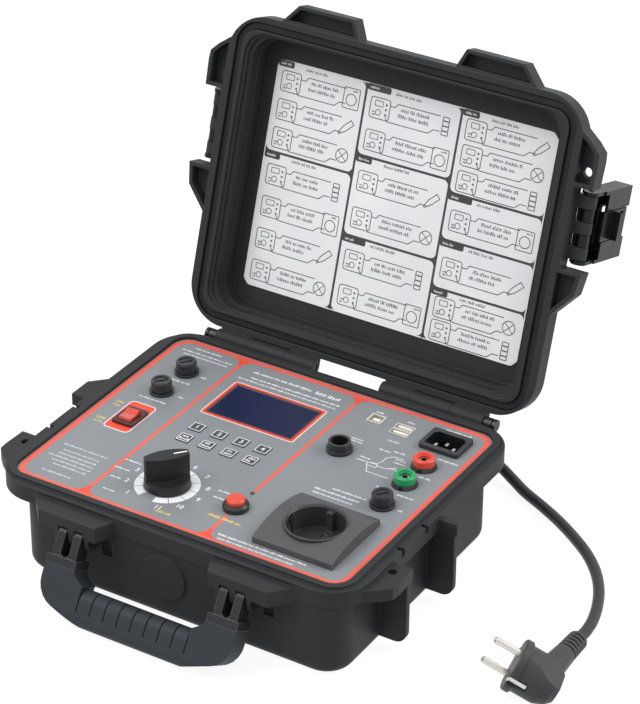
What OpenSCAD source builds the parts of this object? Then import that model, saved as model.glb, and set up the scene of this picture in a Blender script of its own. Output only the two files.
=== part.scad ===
// Portable safety tester for electrical appliances, built into a hinged waterproof case.
// X runs along the hinge, Y points from the handle to the hinge, Z points up.
// The origin is the middle of the case's underside. Lid pieces are drawn closed and then swung open.

/* [Case] */
// Height from the underside to the top of the panel
panel_top = 68; // [66:1:72]
// Width over the rim flanges
flange_w = 286; // [270:1:300]
// Depth over the rim flanges
flange_d = 231; // [224:1:240]
// Thickness of the moulded walls
wall = 4; // [3:0.5:5]
// Height of the closed lid above the rim
lid_h = 30; // [30:1:34]

/* [Pose] */
// Angle of the lid from closed
lid_angle = 107.4; // [0:0.1:107.4]
// Angle of the carrying handle above its rest
handle_lift = 0; // [0:1:62]
// Swing of each latch from closed
latch_angle = 180; // [0:1:180]
// Direction of the selector's pointer from +X
knob_angle = 50; // [0:10:350]

/* [Panel] */
// Side of the square outlet plate
outlet_w = 61.3; // [58:0.1:64]
// Bore of the outlet's plug well
outlet_bore = 39.6; // [39.5:0.1:40]
// Width of the display window
lcd_w = 68.6; // [60:0.1:70]
// Depth of the display window
lcd_d = 39.8; // [36:0.1:41]
// Radius of the selector knob's skirt
knob_r = 15.8; // [13:0.1:16]
// Height of the selector knob above the panel
knob_h = 24; // [18:1:24]
// Width of a key
key_w = 10; // [8:0.5:12]
// Depth of a key
key_d = 9.5; // [8:0.5:11]

/* [Hardware] */
// Radius of the hinge, handle and latch pins
pin_r = 2.5; // [2:0.1:3]
// Radius of the padlock holes
padlock_r = 3.35; // [3:0.05:4]
// Length of a latch lever from its pin to its tip
lever_l = 54; // [50:1:56]
// Length of the handle from its pins to the middle of its tip
handle_l = 48; // [47:0.5:50]
// Diameter of the mains cord
cord_d = 8; // [7:0.5:8]

/* [Hidden] */
$fn = 48;

run = 0.05;     // radial play of a pin in its bore
slip = 0.3;     // play between sliding and turning faces

// Case levels and outlines
body_w = flange_w - 31.5;
body_d = flange_d - 22;
body_x = 7.25;  // the body stands off the middle of the rim
body_left = body_x - body_w / 2;
body_right = body_x + body_w / 2;
front_y = 1.5 - flange_d / 2;
rear_y = front_y + body_d;
body_r = 20;
floor_r = 8;
ledge_w = 14;
flange_r = 30;
rim_z = panel_top + 0.2;
flange_z = panel_top - 12.3;
lid_z = rim_z + 0.4;
lid_top = lid_z + lid_h;
lid_flange_h = 13.4;
lid_in = 8;      // the lid's walls stand in from its flange
lid_roof = 3.6;
panel_w = flange_w - 22.6;
panel_d = flange_d - 19.8;
panel_r = 13;
panel_t = 3;
seat_w = panel_w + 2 * slip;
seat_d = panel_d + 2 * slip;
ridge_w = 4.5;
ridge_h = 2.2;
groove_gap = 0.7;
chart_w = seat_w - 35.4;
chart_d = seat_d - 41.8;
chart_t = 0.7;

// Hinge along the rear edge
hinge_y = flange_d / 2 + 6.6;
hinge_z = panel_top - 1.9;
hinge_r = 6;
lid_knuckles = [[28, 52.3], [85.2, 111.3]];
base_knuckle = [52.6, 84.9];
hinge_head = [111.8, 121];

// Side lugs and the latches between them
rim_x = flange_w / 2;
lug_x = rim_x + 13.8;
lug_front = [
    [rim_x - 8, -98], [rim_x - 3, -96.8], [lug_x - 6, -88.6], [lug_x, -82.5], [lug_x + 0.6, -76], [lug_x, -57],
    [rim_x - 8, -57]
];
lug_rear = [[rim_x - 6, 1.5], [lug_x + 3.5, 1.5], [lug_x + 1, 18], [rim_x, 35], [rim_x - 6, 35]];
lug_plate = [[rim_x - 6, 1.5], [lug_x, 1.5], [lug_x, 6.3], [rim_x - 6, 6.3]];
lug_left = [[rim_x - 7, 1.4], [lug_x + 0.1, 1.4], [lug_x + 0.1, 20.7], [rim_x, 35], [rim_x - 7, 35]];
lug_wall = 2.8;
pocket_front = [
    [rim_x - 0.5, -91.4], [lug_x - 5.1 - lug_wall, -86.5], [lug_x - lug_wall, -81.2], [lug_x + 0.4 - lug_wall, -76],
    [lug_x - lug_wall, -57 - lug_wall], [rim_x - 0.5, -57 - lug_wall]
];
pocket_rear = [
    [rim_x - 0.5, 1.5 + lug_wall], [lug_x + 3.1 - lug_wall, 1.5 + lug_wall], [lug_x + 1.3 - lug_wall, 16.4],
    [rim_x - 0.5, 31.3]
];
padlock_at = [rim_x + 4, -66.8];
lug_top = panel_top - 3;
fin_t = 4;
fin_y = [-61, 1.5];
fin_z = 5.5;
fin_r = 9;
fin_reach = 20.5;
latch_x = rim_x + 7.5;
latch_z = lid_z + 14.4;
latch_pin_r = 2;
latch_y = [-53.5, -2];
latch_mid = (latch_y[0] + latch_y[1]) / 2;
latch_knuckles = [[-50.5, -41.5], [-32, -23.5], [-14, -5]];
lever_hubs = [[-41, -32.5], [-23, -14.5]];
lever_out = 7;
lever_in = 6.8;
lever_t = 2.5;
catch_t = 2.8;
catch_w = 21;
catch_lip = [latch_z - flange_z + 0.7, latch_z - flange_z + 3.7];
strap_slots = [[-47.6, -43.8], [-16.4, -12.6]];

// Carrying handle and its forks
handle_x = 0;
handle_y = front_y - 11.5;
handle_z = flange_z - 5.7;
arm_x = 64;
arm_w = 23.5;
fork_w = 18.5;
prong_gap = 6.6;
prong_t = 13;
prong_l = 14.5;
grip_t = 17;
grip_from = 20.5;
finger_edge = handle_l - 18;
handle_bend = 18;
grip_end = 43;
grip_pitch = 10.75;
core_t = 8;
floor_gap = 0.14;
handle_rest = asin((handle_z - grip_t / 2 - floor_gap) / handle_l);
hood_y = front_y - 15.5;
hood_z = [flange_z - 2.7, flange_z + 9.3];
hood_roof = flange_z + 1.9;
hood = [[arm_x - 26.5, front_y + 1], [arm_x - 19, hood_y], [arm_x + 26.5, hood_y], [arm_x + 41, front_y + 1]];
pocket_hood = [
    [arm_x - 21.6, hood_y + 12], [arm_x - 17.3, hood_y + 2.6], [arm_x + 25.3, hood_y + 2.6], [arm_x + 33.6, hood_y + 12]
];
ear_t = 3.5;
ear_z = handle_z - 7.5;
ear_r = 5;

// Places on the panel, from its middle
panel_x = panel_w / 2;
panel_y = panel_d / 2;
outlet_at = [panel_x - 46.8, 45.6 - panel_y];
outlet_top = panel_top + 9.8;
outlet_edge = panel_top + 4.8;
fuse_at = [[30.8 - panel_x, panel_y - 41.2], [30.3 - panel_x, panel_y - 72.1], [panel_x - 27.2, -7.7]];
socket_at = [[panel_x - 26.7, panel_y - 58.3], [panel_x - 27.1, panel_y - 83.5]];
button_at = [23.5, 43.2 - panel_y];
led_at = [button_at[0], button_at[1] + 20.4];
probe_at = [45.1, panel_y - 70.5];
knob_at = [-31, 42.3 - panel_y];
iec_at = [panel_x - 27.5, panel_y - 26.4];
usb_a_at = [panel_x - 62.2, panel_y - 26.6];
usb_b_at = [panel_x - 84.9, panel_y - 23.1];
rocker_at = [31.2 - panel_x, -7];
lcd_at = [-25.7, panel_y - 56.2];
key_x = [-53.4, -35.1, -17.1, 0.5];
key_y = [lcd_at[1] - 42.4, lcd_at[1] - 58.2];
well_r = outlet_bore / 2;
outlet_body_r = well_r + 2.1;
rocker_tilt = 9;
iec_w = 31;
iec_d = 24.5;
iec_z = panel_top + 3.4;

// Inside the base
transformer_at = [body_right - wall - 60.5, rear_y - 75];
transformer_w = 56;
board_x = [body_left + wall + 2, transformer_at[0] - transformer_w / 2 - 16];
board_y = [front_y + wall + 25, rear_y - wall - 26];
board_z = 30;
board_t = 1.6;
post_in = 6;

// Mains lead: gland, free route on the floor and the plug lying at its end
gland_at = [56, rear_y, 23];
gland_r = 8;
gland_l = 18;
plug_at = [233.5, -58.3, 20];
plug_turn = 195;
plug_lift = 25;
plug_face_r = 18.5;
neck_root = [-20, 0, 0];
neck_end = [-34, -57, 0];
neck_r = [7.5, 5.2];

function plug_point(p) =
    let (x = p[0] * cos(plug_lift) - p[2] * sin(plug_lift), z = p[0] * sin(plug_lift) + p[2] * cos(plug_lift))
    plug_at + [x * cos(plug_turn) - p[1] * sin(plug_turn), x * sin(plug_turn) + p[1] * cos(plug_turn), z];
function unit(v) = v / norm(v);

// Arc of radius r that rounds the corner b between its neighbours a and c
function corner(a, b, c, r) =
    let (u = unit(a - b), v = unit(c - b), half = acos(u * v) / 2, steps = 5)
    let (from = r / tan(half) * u, to = r / tan(half) * v, centre = r / sin(half) * unit(u + v))
    [for (k = [0:steps]) b + centre + r * unit((from - centre) * (1 - k / steps) + (to - centre) * k / steps)];

// Outline with all its corners rounded
function eased(points, r) =
    let (n = len(points))
    [for (i = [0:n - 1]) each corner(points[(i + n - 1) % n], points[i], points[(i + 1) % n], r)];

cord_start = gland_at + [0, gland_l, 0];
cord_end = plug_point(neck_end);
cord_back = unit(plug_point(neck_end) - plug_point(neck_root));
cord_route = concat(
    [cord_start, cord_start + [0, 8, -0.2]],
    [
        [58.6, 134.8, 22.2], [66, 146.4, 20.3], [77.9, 154.5, 17.3], [92, 157.2, 13.7], [107, 155.4, 9.9],
        [121, 149.6, 6.6], [135.4, 142.2, 4.5], [152.6, 133.9, 4.1], [171.8, 123.3, 4.1], [190.4, 110.9, 4.1],
        [208, 97, 4.1], [222.5, 81.3, 4.1], [233.7, 64, 4.1], [241.6, 46, 4.1], [246.2, 30, 4.1]
    ],
    [cord_end + 14 * cord_back + [0, 0, 0.3], cord_end + 7 * cord_back, cord_end]
);
cord_steps = 4;
cord_sides = 10;

// ---------------------------------------------------------------- shared shapes

module rounded_rect(w, d, r) {
    square([w - 2 * r, d], center = true);
    square([w, d - 2 * r], center = true);
    for (x = [-1, 1], y = [-1, 1])
        translate([x * (w / 2 - r), y * (d / 2 - r)]) circle(r);
}

module slab(w, d, r, z0, z1) {
    translate([0, 0, z0]) linear_extrude(z1 - z0) rounded_rect(w, d, r);
}

// Upright disc between two levels
module disc(r, z0, z1) {
    translate([0, 0, z0]) cylinder(r = r, h = z1 - z0);
}

module block(x, y, z) {
    translate([x[0], y[0], z[0]]) cube([x[1] - x[0], y[1] - y[0], z[1] - z[0]]);
}

// Rod along X between two places
module rod_x(r, x, y, z) {
    translate([x[0], y, z]) rotate([0, 90, 0]) cylinder(r = r, h = x[1] - x[0]);
}

// Rod along Y between two places
module rod_y(r, x, y, z) {
    translate([x, y[0], z]) rotate([-90, 0, 0]) cylinder(r = r, h = y[1] - y[0]);
}

// Profile across a tray with rounded lower edges
module tray_section(w, h, e) {
    translate([-w / 2, e]) square([w, h - e]);
    translate([-w / 2 + e, 0]) square([w - 2 * e, h]);
    for (x = [-1, 1])
        translate([x * (w / 2 - e), e]) circle(e);
}

// Solid tray: corners of radius r, lower edges of radius e, open side upwards
module tray(w, d, h, r, e) {
    rotate([90, 0, 0]) linear_extrude(d - 2 * r, center = true) tray_section(w, h, e);
    rotate([90, 0, 90]) linear_extrude(w - 2 * r, center = true) tray_section(d, h, e);
    for (x = [-1, 1], y = [-1, 1])
        translate([x * (w / 2 - r), y * (d / 2 - r), 0])
            rotate_extrude() intersection() {
                tray_section(2 * r, h, e);
                square([r, h]);
            }
}

// Puts children on both sides of the case's middle plane
module both_sides() {
    children();
    mirror([1, 0, 0]) children();
}

module lid_pose() {
    translate([0, hinge_y, hinge_z])
        rotate([-lid_angle, 0, 0])
            translate([0, -hinge_y, -hinge_z]) children();
}

module handle_pose() {
    translate([handle_x, handle_y, handle_z]) rotate([handle_rest - handle_lift, 0, 0]) children();
}

module on_panel(at) {
    translate([at[0], at[1], 0]) children();
}

module plug_pose() {
    translate(plug_at) rotate([0, 0, plug_turn]) rotate([0, -plug_lift, 0]) children();
}

// ---------------------------------------------------------------- case base

module base_lug(outline) {
    translate([0, 0, flange_z]) linear_extrude(lug_top - flange_z) polygon(outline);
}

// Fin below a lug that guards the closed latch
module fin(y) {
    inner = body_w / 2 - 3;
    outer = body_w / 2 + fin_reach;
    translate([0, y + fin_t, 0]) rotate([90, 0, 0]) linear_extrude(fin_t) {
        translate([inner, fin_z + fin_r]) square([outer - inner, flange_z - fin_z - fin_r + 3]);
        translate([inner, fin_z]) square([outer - fin_r - inner, fin_r + 1]);
        translate([outer - fin_r, fin_z + fin_r]) circle(fin_r);
    }
}

// Ears that carry the handle's pin, below a hood
module handle_fork() {
    gap = fork_w / 2 + 1;
    mid = prong_gap / 2 - 0.8;
    for (x = [[arm_x - gap - ear_t, arm_x - gap], [arm_x - mid, arm_x + mid], [arm_x + gap, arm_x + gap + ear_t]]) {
        block(x, [hood_y, front_y + 1], [ear_z + ear_r, hood_roof + 1]);
        block(x, [hood_y + ear_r, front_y + 1], [ear_z, hood_roof + 1]);
        rod_x(ear_r, x, hood_y + ear_r, ear_z + ear_r);
    }
    difference() {
        translate([0, 0, hood_z[0]]) linear_extrude(hood_z[1] - hood_z[0]) polygon(hood);
        block([arm_x - gap, arm_x + gap], [hood_y - 1, front_y], [hood_z[0] - 1, hood_roof]);
    }
}

module base_solid() {
    translate([body_x, front_y + body_d / 2, 0]) tray(body_w, body_d, flange_z + 2, body_r, floor_r);
    slab(flange_w, flange_d, flange_r, flange_z, rim_z);
    difference() {
        slab(seat_w + 2 * ridge_w, seat_d + 2 * ridge_w, panel_r + ridge_w, rim_z - 1, rim_z + ridge_h);
        slab(seat_w, seat_d, panel_r, rim_z - 2, rim_z + ridge_h + 1);
    }
    translate([body_x, 0, 0]) both_sides()
        for (y = fin_y) fin(y);
    translate([handle_x, 0, 0]) both_sides() handle_fork();
    both_sides() {
        base_lug(lug_front);
        base_lug(lug_plate);
        // Hinge knuckle and its root
        rod_x(hinge_r, base_knuckle, hinge_y, hinge_z);
        block(base_knuckle, [flange_d / 2 - 4, hinge_y], [hinge_z - hinge_r, hinge_z]);
        // Stiffening web below each knuckle
        for (x = base_knuckle)
            block([x - 2, x + 2], [rear_y - 2, hinge_y - 4], [flange_z - 6, flange_z + 1]);
    }
    mirror([1, 0, 0]) base_lug(lug_left);
    // Plain boss on the front wall
    translate([handle_x, front_y + wall, handle_z - 16]) rotate([90, 0, 0]) cylinder(r = 17, h = wall + 1.5);
}

module base_shell() {
    color("#47484a") difference() {
        base_solid();
        // Hollow of the body, kept clear of the panel's ledge
        translate([body_x, front_y + body_d / 2, wall])
            tray(body_w - 2 * wall, body_d - 2 * wall, flange_z - wall - 2, body_r - wall, floor_r - wall);
        block([body_left + wall + 1, body_right - ledge_w], [-seat_d / 2 + 4, rear_y - wall], [flange_z - 4, rim_z + 4]);
        // Seat of the panel
        slab(seat_w, seat_d, panel_r, panel_top - panel_t, rim_z + ridge_h + 1);
        translate([handle_x, 0, 0]) both_sides()
            rod_x(pin_r + run, [arm_x - 22, arm_x + 22], handle_y, handle_z);
        both_sides() {
            rod_x(pin_r + run, [base_knuckle[0] - 1, base_knuckle[1] + 1], hinge_y, hinge_z);
            translate([padlock_at[0], padlock_at[1], flange_z - 1]) cylinder(r = padlock_r, h = 20);
            // Slots in the rim beside each latch
            for (y = strap_slots) block([rim_x - 5, rim_x + 1], y, [rim_z - 6, rim_z + 1]);
            // Shallow niches on both sides of each fork
            for (x = [[arm_x - 22, arm_x - 13.8], [arm_x + 13.8, arm_x + 22]])
                block(x, [front_y - 1, front_y + 2.5], [flange_z - 21.7, flange_z - 7.5]);
        }
        // Opening of the cable gland
        rod_y(gland_r + run, gland_at[0], [rear_y - wall - 1, rear_y + 1], gland_at[2]);
    }
}

module hinge_pins() {
    color("#b9bcc0") both_sides() {
        rod_x(pin_r, [lid_knuckles[0][0] + 0.5, hinge_head[0] + 1], hinge_y, hinge_z);
        difference() {
            rod_x(4.4, hinge_head, hinge_y, hinge_z);
            translate([hinge_head[1] - 3.4, hinge_y, hinge_z]) rotate([0, 90, 0]) difference() {
                cylinder(r = 5, h = 1.2);
                cylinder(r = 3.4, h = 1.2);
            }
        }
    }
}

module handle_pins() {
    reach = fork_w / 2 + 1 + ear_t;
    color("#b9bcc0") translate([handle_x, 0, 0]) both_sides()
        rod_x(pin_r, [arm_x - reach, arm_x + reach], handle_y, handle_z);
}

// ---------------------------------------------------------------- carrying handle

// Outline of the handle: x across, y away from the pins
module handle_outline() {
    outer = arm_x + arm_w / 2;
    inner = arm_x - arm_w / 2;
    tip = handle_l + grip_t / 2;
    intersection() {
        translate([-outer - 1, 0]) square([2 * outer + 2, tip + 1]);
        difference() {
            polygon(eased([
                [-outer, -40], [-outer, tip - 13], [-39, tip], [39, tip], [outer, tip - 13], [outer, -40]
            ], handle_bend));
            polygon(eased([
                [-inner, -20], [-inner, finger_edge - 7], [-grip_end + 2, finger_edge], [grip_end - 2, finger_edge],
                [inner, finger_edge - 7], [inner, -20]
            ], 6));
        }
    }
}

// Rounded bar between the two bends of the handle
module grip_bar(r) {
    rod_x(r, [-grip_end - 8, grip_end + 8], -finger_edge - grip_t / 2, 0);
    rod_x(r, [-grip_end - 8, grip_end + 8], -handle_l, 0);
    block([-grip_end - 8, grip_end + 8], [-handle_l, -finger_edge - grip_t / 2], [-r, r]);
}

// Whole handle: two flat arms and the bar with a rounded outer edge
module handle_whole() {
    intersection() {
        translate([0, 0, -grip_t / 2]) linear_extrude(grip_t) mirror([0, 1]) handle_outline();
        union() {
            grip_bar(grip_t / 2);
            for (x = [[-arm_x - arm_w, -grip_end], [grip_end, arm_x + arm_w]]) {
                block(x, [-handle_l, 1], [-grip_t / 2, grip_t / 2]);
                rod_x(grip_t / 2, x, -handle_l, 0);
            }
        }
    }
}

// Rigid bow inside the rubber
module handle_bow() {
    inner = arm_x - 6;
    outer = arm_x + 2;
    both_sides() block([inner, outer], [-handle_l + 4, -grip_from + 1], [-core_t / 2, core_t / 2]);
    block([-outer, outer], [-handle_l + 4, -handle_l + 12], [-core_t / 2, core_t / 2]);
}

module handle_frame() {
    color("#26282b") handle_pose() {
        difference() {
            union() {
                intersection() {
                    handle_whole();
                    union() {
                        both_sides() block([arm_x - fork_w / 2, arm_x + fork_w / 2], [-prong_l - 1, 1],
                            [-prong_t / 2, prong_t / 2]);
                        block([-100, 100], [-grip_from, -prong_l], [-grip_t / 2, grip_t / 2]);
                    }
                }
                both_sides() rod_x(prong_t / 2, [arm_x - fork_w / 2, arm_x + fork_w / 2], 0, 0);
            }
            both_sides() {
                // Slot between the two prongs of each arm
                block([arm_x - prong_gap / 2, arm_x + prong_gap / 2], [prong_gap / 2 - prong_l, 10], [-20, 20]);
                translate([arm_x, prong_gap / 2 - prong_l, -20]) cylinder(r = prong_gap / 2, h = 40);
                rod_x(pin_r + run, [arm_x - 20, arm_x + 20], 0, 0);
            }
        }
        handle_bow();
    }
}

module handle_grip() {
    color("#2b3034") handle_pose() difference() {
        handle_whole();
        block([-100, 100], [-grip_from, 20], [-20, 20]);
        handle_bow();
        // Grooves on the finger side
        for (x = [-grip_end:grip_pitch:grip_end]) difference() {
            block([x - 0.55, x + 0.55], [-handle_l + 2, -finger_edge + 1], [-grip_t, grip_t]);
            grip_bar(grip_t / 2 - 1);
        }
    }
}

// ---------------------------------------------------------------- lid

module lid_solid() {
    translate([0, 0, lid_top]) mirror([0, 0, 1])
        tray(flange_w - 2 * lid_in, flange_d - 2 * lid_in + 0.5, lid_h - 2, flange_r - lid_in, floor_r);
    slab(flange_w, flange_d, flange_r, lid_z, lid_z + lid_flange_h);
    both_sides() {
        for (outline = [lug_front, lug_rear])
            translate([0, 0, lid_z]) linear_extrude(lid_flange_h) polygon(outline);
        translate([0, 0, lid_z + 0.6]) linear_extrude(lid_flange_h - 1.6) polygon(hood);
        // Web between the lid and the knuckle of the base
        difference() {
            block(base_knuckle, [flange_d / 2 - 4, hinge_y - 1], [lid_z, hinge_z + hinge_r + 1.5]);
            rod_x(hinge_r + 0.5, [base_knuckle[0] - 1, base_knuckle[1] + 1], hinge_y, hinge_z);
        }
        for (x = lid_knuckles) {
            rod_x(hinge_r, x, hinge_y, hinge_z);
            block(x, [flange_d / 2 - 4, hinge_y], [lid_z, hinge_z + hinge_r]);
            block(x, [flange_d / 2 + 1, hinge_y], [hinge_z, lid_z + 1]);
        }
        for (y = latch_knuckles) {
            rod_y(5, latch_x, y, latch_z);
            block([rim_x - 3, latch_x], y, [latch_z - 5, latch_z + 2]);
        }
    }
    // Long stiffening ribs on the outside of the lid
    for (x = [-60, 0, 60])
        block([x - 20, x + 20], [-chart_d / 2 + 5, chart_d / 2 - 5], [lid_top - 1, lid_top + 0.8]);
}

module lid_shell() {
    color("#47484a") lid_pose() difference() {
        lid_solid();
        // Hollow, with two small steps near its mouth
        slab(seat_w - 6, seat_d - 4.6, 16, lid_z - 1, lid_z + 2);
        slab(seat_w - 10.5, seat_d - 6.8, 16, lid_z - 1, lid_z + 4.5);
        slab(seat_w - 15, seat_d - 9, 18, lid_z - 1, lid_z + 14);
        slab(seat_w - 17, seat_d - 12, 18, lid_z - 1, lid_top - lid_roof);
        // Groove that takes the ridge of the base and the seal
        difference() {
            slab(seat_w + 2 * ridge_w + 2 * groove_gap, seat_d + 2 * ridge_w + 2 * groove_gap,
                panel_r + ridge_w + groove_gap, lid_z - 1, lid_z + 4);
            slab(seat_w - 2 * groove_gap, seat_d - 2 * groove_gap, panel_r - groove_gap, lid_z - 2, lid_z + 5);
        }
        both_sides() {
            for (x = lid_knuckles)
                rod_x(pin_r + run, [x[0] - 1, x[1] + 1], hinge_y, hinge_z);
            rod_y(latch_pin_r + run, latch_x, [latch_knuckles[0][0] - 1, latch_knuckles[2][1] + 1], latch_z);
            translate([padlock_at[0], padlock_at[1], lid_z - 1]) cylinder(r = padlock_r, h = 20);
            // Pockets of the lugs, open towards the base
            for (outline = [pocket_front, pocket_rear])
                translate([0, 0, lid_z - 1]) linear_extrude(10) polygon(outline);
            // Pocket in each front hood
            translate([0, 0, lid_z - 1]) linear_extrude(lid_flange_h - 2.5) polygon(pocket_hood);
            // Shallow pockets in the hinge knuckles
            for (x = lid_knuckles)
                block([x[0] + 4, x[1] - 4], [hinge_y - 8, hinge_y - 4.6], [lid_z + 1.4, lid_z + 8]);
        }
    }
}

module lid_seal() {
    color("#1d1e20") lid_pose() difference() {
        slab(seat_w + 2 * ridge_w, seat_d + 2 * ridge_w, panel_r + ridge_w, lid_z + 2.2, lid_z + 4);
        slab(seat_w, seat_d, panel_r, lid_z + 1, lid_z + 5);
    }
}

module chart_plate() {
    color("#e9edf2") lid_pose() translate([0, 0.8, 0])
        slab(chart_w, chart_d, 6, lid_top - lid_roof - chart_t, lid_top - lid_roof);
}

module latch_pins() {
    color("#b9bcc0") lid_pose() both_sides()
        rod_y(latch_pin_r, latch_x, [latch_y[0] + 0.5, latch_y[1] - 0.5], latch_z);
}

// Latch frame: pin at the origin, z down towards the tip when closed, x outwards
module latch_frame() {
    translate([latch_x, 0, latch_z]) rotate([0, -latch_angle, 0]) mirror([0, 0, 1]) children();
}

module lever() {
    wing = (latch_y[1] - latch_y[0] - catch_w) / 2 - 0.7;
    wings = [[latch_y[0], latch_y[0] + wing], [latch_y[1] - wing, latch_y[1]]];
    difference() {
        union() {
            // Outer cheeks beside the knuckles
            for (y = [[latch_y[0], latch_y[0] + lever_t], [latch_y[1] - lever_t, latch_y[1]]]) {
                rod_y(5.5, 0, y, 0);
                block([-5.5, lever_out], y, [0, 12]);
                block([-lever_in, lever_out], y, [11, lever_l]);
            }
            // Hubs between the knuckles, joined to the front plate
            for (y = lever_hubs) {
                rod_y(4.6, 0, y, 0);
                block([0, lever_out], y, [-2, 9]);
            }
            block([lever_out - lever_t, lever_out], latch_y, [7, 21]);
            block([-2, lever_out], [latch_mid - catch_w / 2 - 3, latch_mid + catch_w / 2 + 3], [13, 19]);
            for (y = wings) {
                block([lever_out - lever_t, lever_out], y, [20, lever_l]);
                block([-lever_in, -lever_in + 2], y, [17, lever_l]);
                block([-lever_in, lever_out], y, [lever_l - 3, lever_l]);
                block([-lever_in, lever_out], [y[0] + wing / 2 - 1, y[0] + wing / 2 + 1], [20, lever_l]);
            }
            block([lever_out - lever_t, lever_out], [latch_mid - catch_w / 2 - 1, latch_mid + catch_w / 2 + 1],
                [lever_l - 5, lever_l]);
            for (y = [latch_mid - catch_w / 2 - 2.7, latch_mid + catch_w / 2 + 0.7])
                block([lever_out - 5.5, lever_out], [y, y + 2], [20, lever_l]);
        }
        rod_y(latch_pin_r + run, 0, [latch_y[0] - 1, latch_y[1] + 1], 0);
    }
}

// Plate with a window and an inward lip that hooks under the rim of the base
module catch_plate() {
    half = catch_w / 2;
    across = [latch_mid - half + 0.5, latch_mid + half - 0.5];
    difference() {
        block([-lever_in, -lever_in + catch_t], [latch_mid - half, latch_mid + half], [14, lever_l - 3]);
        block([-lever_in - 1, 0], [latch_mid - 8.5, latch_mid + 8.5], [catch_lip[1] + 3, lever_l - 8]);
    }
    block([-lever_in - 6, -lever_in + 1], across, catch_lip);
    block([-lever_in + 1, -2], across, [15, 18]);
}

module latch_lever_r() {
    color("#17181a") lid_pose() latch_frame() lever();
}

module latch_lever_l() {
    color("#17181a") lid_pose() mirror([1, 0, 0]) latch_frame() lever();
}

module latch_catch_r() {
    color("#202224") lid_pose() latch_frame() catch_plate();
}

module latch_catch_l() {
    color("#202224") lid_pose() mirror([1, 0, 0]) latch_frame() catch_plate();
}

// ---------------------------------------------------------------- panel and display

module panel_hole(at, r) {
    on_panel(at) disc(r, panel_top - panel_t - 1, panel_top + 1);
}

module panel_slot(at, w, d) {
    translate([at[0] - w / 2, at[1] - d / 2, panel_top - panel_t - 1]) cube([w, d, panel_t + 2]);
}

module front_panel() {
    color("#93979a") difference() {
        slab(panel_w, panel_d, panel_r, panel_top - panel_t, panel_top);
        for (at = fuse_at) panel_hole(at, 7.5);
        for (at = socket_at) panel_hole(at, 6.1);
        panel_hole(button_at, 7.9);
        panel_hole(led_at, 1.5);
        panel_hole(probe_at, 7.9);
        panel_hole(knob_at, 5);
        panel_slot(outlet_at, 2 * outlet_body_r + 5, 2 * outlet_body_r + 5);
        panel_slot(iec_at, iec_w - 3, iec_d - 3);
        panel_slot(usb_a_at, 15, 14.4);
        panel_slot(usb_b_at, 12, 11);
        panel_slot(rocker_at, 14.6, 19.6);
        panel_slot(lcd_at, lcd_w, lcd_d);
        for (x = key_x, y = key_y) panel_slot([x, y], key_w + 0.4, key_d + 0.4);
    }
}

module lcd_window() {
    color("#16204a") on_panel(lcd_at) slab(lcd_w, lcd_d, 1, panel_top - 2.2, panel_top - 0.4);
}

module lcd_module() {
    color("#2d5a3c") on_panel(lcd_at) slab(lcd_w + 8, lcd_d + 6, 1, panel_top - 10, panel_top - panel_t);
    color("#2d5a3c") on_panel(lcd_at) slab(lcd_w - 2, lcd_d - 2, 1, panel_top - panel_t - 1, panel_top - 2.2);
}

// Key with a collar under the panel that keeps it in
module key(column, row) {
    color("#4a4d50") on_panel([key_x[column], key_y[row]]) {
        slab(key_w, key_d, 1, panel_top - 4, panel_top + 0.8);
        slab(key_w + 3, key_d + 3, 1, panel_top - 5, panel_top - panel_t - 0.05);
    }
}

module key_1() { key(0, 0); }
module key_2() { key(1, 0); }
module key_3() { key(2, 0); }
module key_4() { key(3, 0); }
module key_5() { key(0, 1); }
module key_6() { key(1, 1); }
module key_7() { key(2, 1); }
module key_8() { key(3, 1); }

// ---------------------------------------------------------------- switches

module rocker_bezel() {
    color("#8c1f16") on_panel(rocker_at) difference() {
        union() {
            slab(17, 22, 1.5, panel_top, panel_top + 2);
            slab(14.4, 19.4, 1, panel_top - 20, panel_top + 1);
        }
        block([-5.1, 5.1], [-7.4, 7.4], [panel_top - 9.5, panel_top + 3]);
        rod_x(1.25, [-5.9, 5.9], 0, panel_top);
    }
}

module rocker() {
    color("#d8402c") on_panel(rocker_at) translate([0, 0, panel_top]) rotate([rocker_tilt, 0, 0]) {
        rotate([90, 0, 90]) linear_extrude(9.8, center = true) intersection() {
            circle(7);
            polygon([[-8, -4], [8, -4], [8, 5.4], [0, 3.4], [-8, 5.4]]);
        }
        rod_x(1.2, [-5.8, 5.8], 0, 0);
    }
}

module selector_knob() {
    top = panel_top + knob_h;
    wing_r = 34;
    color("#1c1d1f") on_panel(knob_at) rotate([0, 0, knob_angle]) difference() {
        union() {
            disc(knob_r, panel_top + 0.5, panel_top + 5.5);
            disc(knob_r - 1, panel_top + 5, panel_top + 6.5);
            // Grip wing: two shallow arcs cut square at the ends
            intersection() {
                translate([0, -wing_r + 6.2, 0]) disc(wing_r, panel_top + 6, top);
                translate([0, wing_r - 6.2, 0]) disc(wing_r, panel_top + 6, top);
                block([0.4 - knob_r, knob_r - 0.4], [-10, 10], [panel_top + 6, top]);
            }
        }
        disc(3 + run, panel_top, panel_top + 12);
        // Seat of the white pointer
        block([5, knob_r - 1.4], [-0.6, 0.6], [top - 0.6, top + 1]);
    }
}

module knob_pointer() {
    color("#f2f2f0") on_panel(knob_at) rotate([0, 0, knob_angle])
        block([5, knob_r - 1.4], [-0.6, 0.6], [panel_top + knob_h - 0.6, panel_top + knob_h + 0.1]);
}

module rotary_switch() {
    color("#303234") on_panel(knob_at) {
        disc(14, panel_top - 20, panel_top - panel_t);
        disc(4.9, panel_top - panel_t - 1, panel_top + 0.2);
        disc(3, panel_top, panel_top + 11);
    }
}

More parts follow.
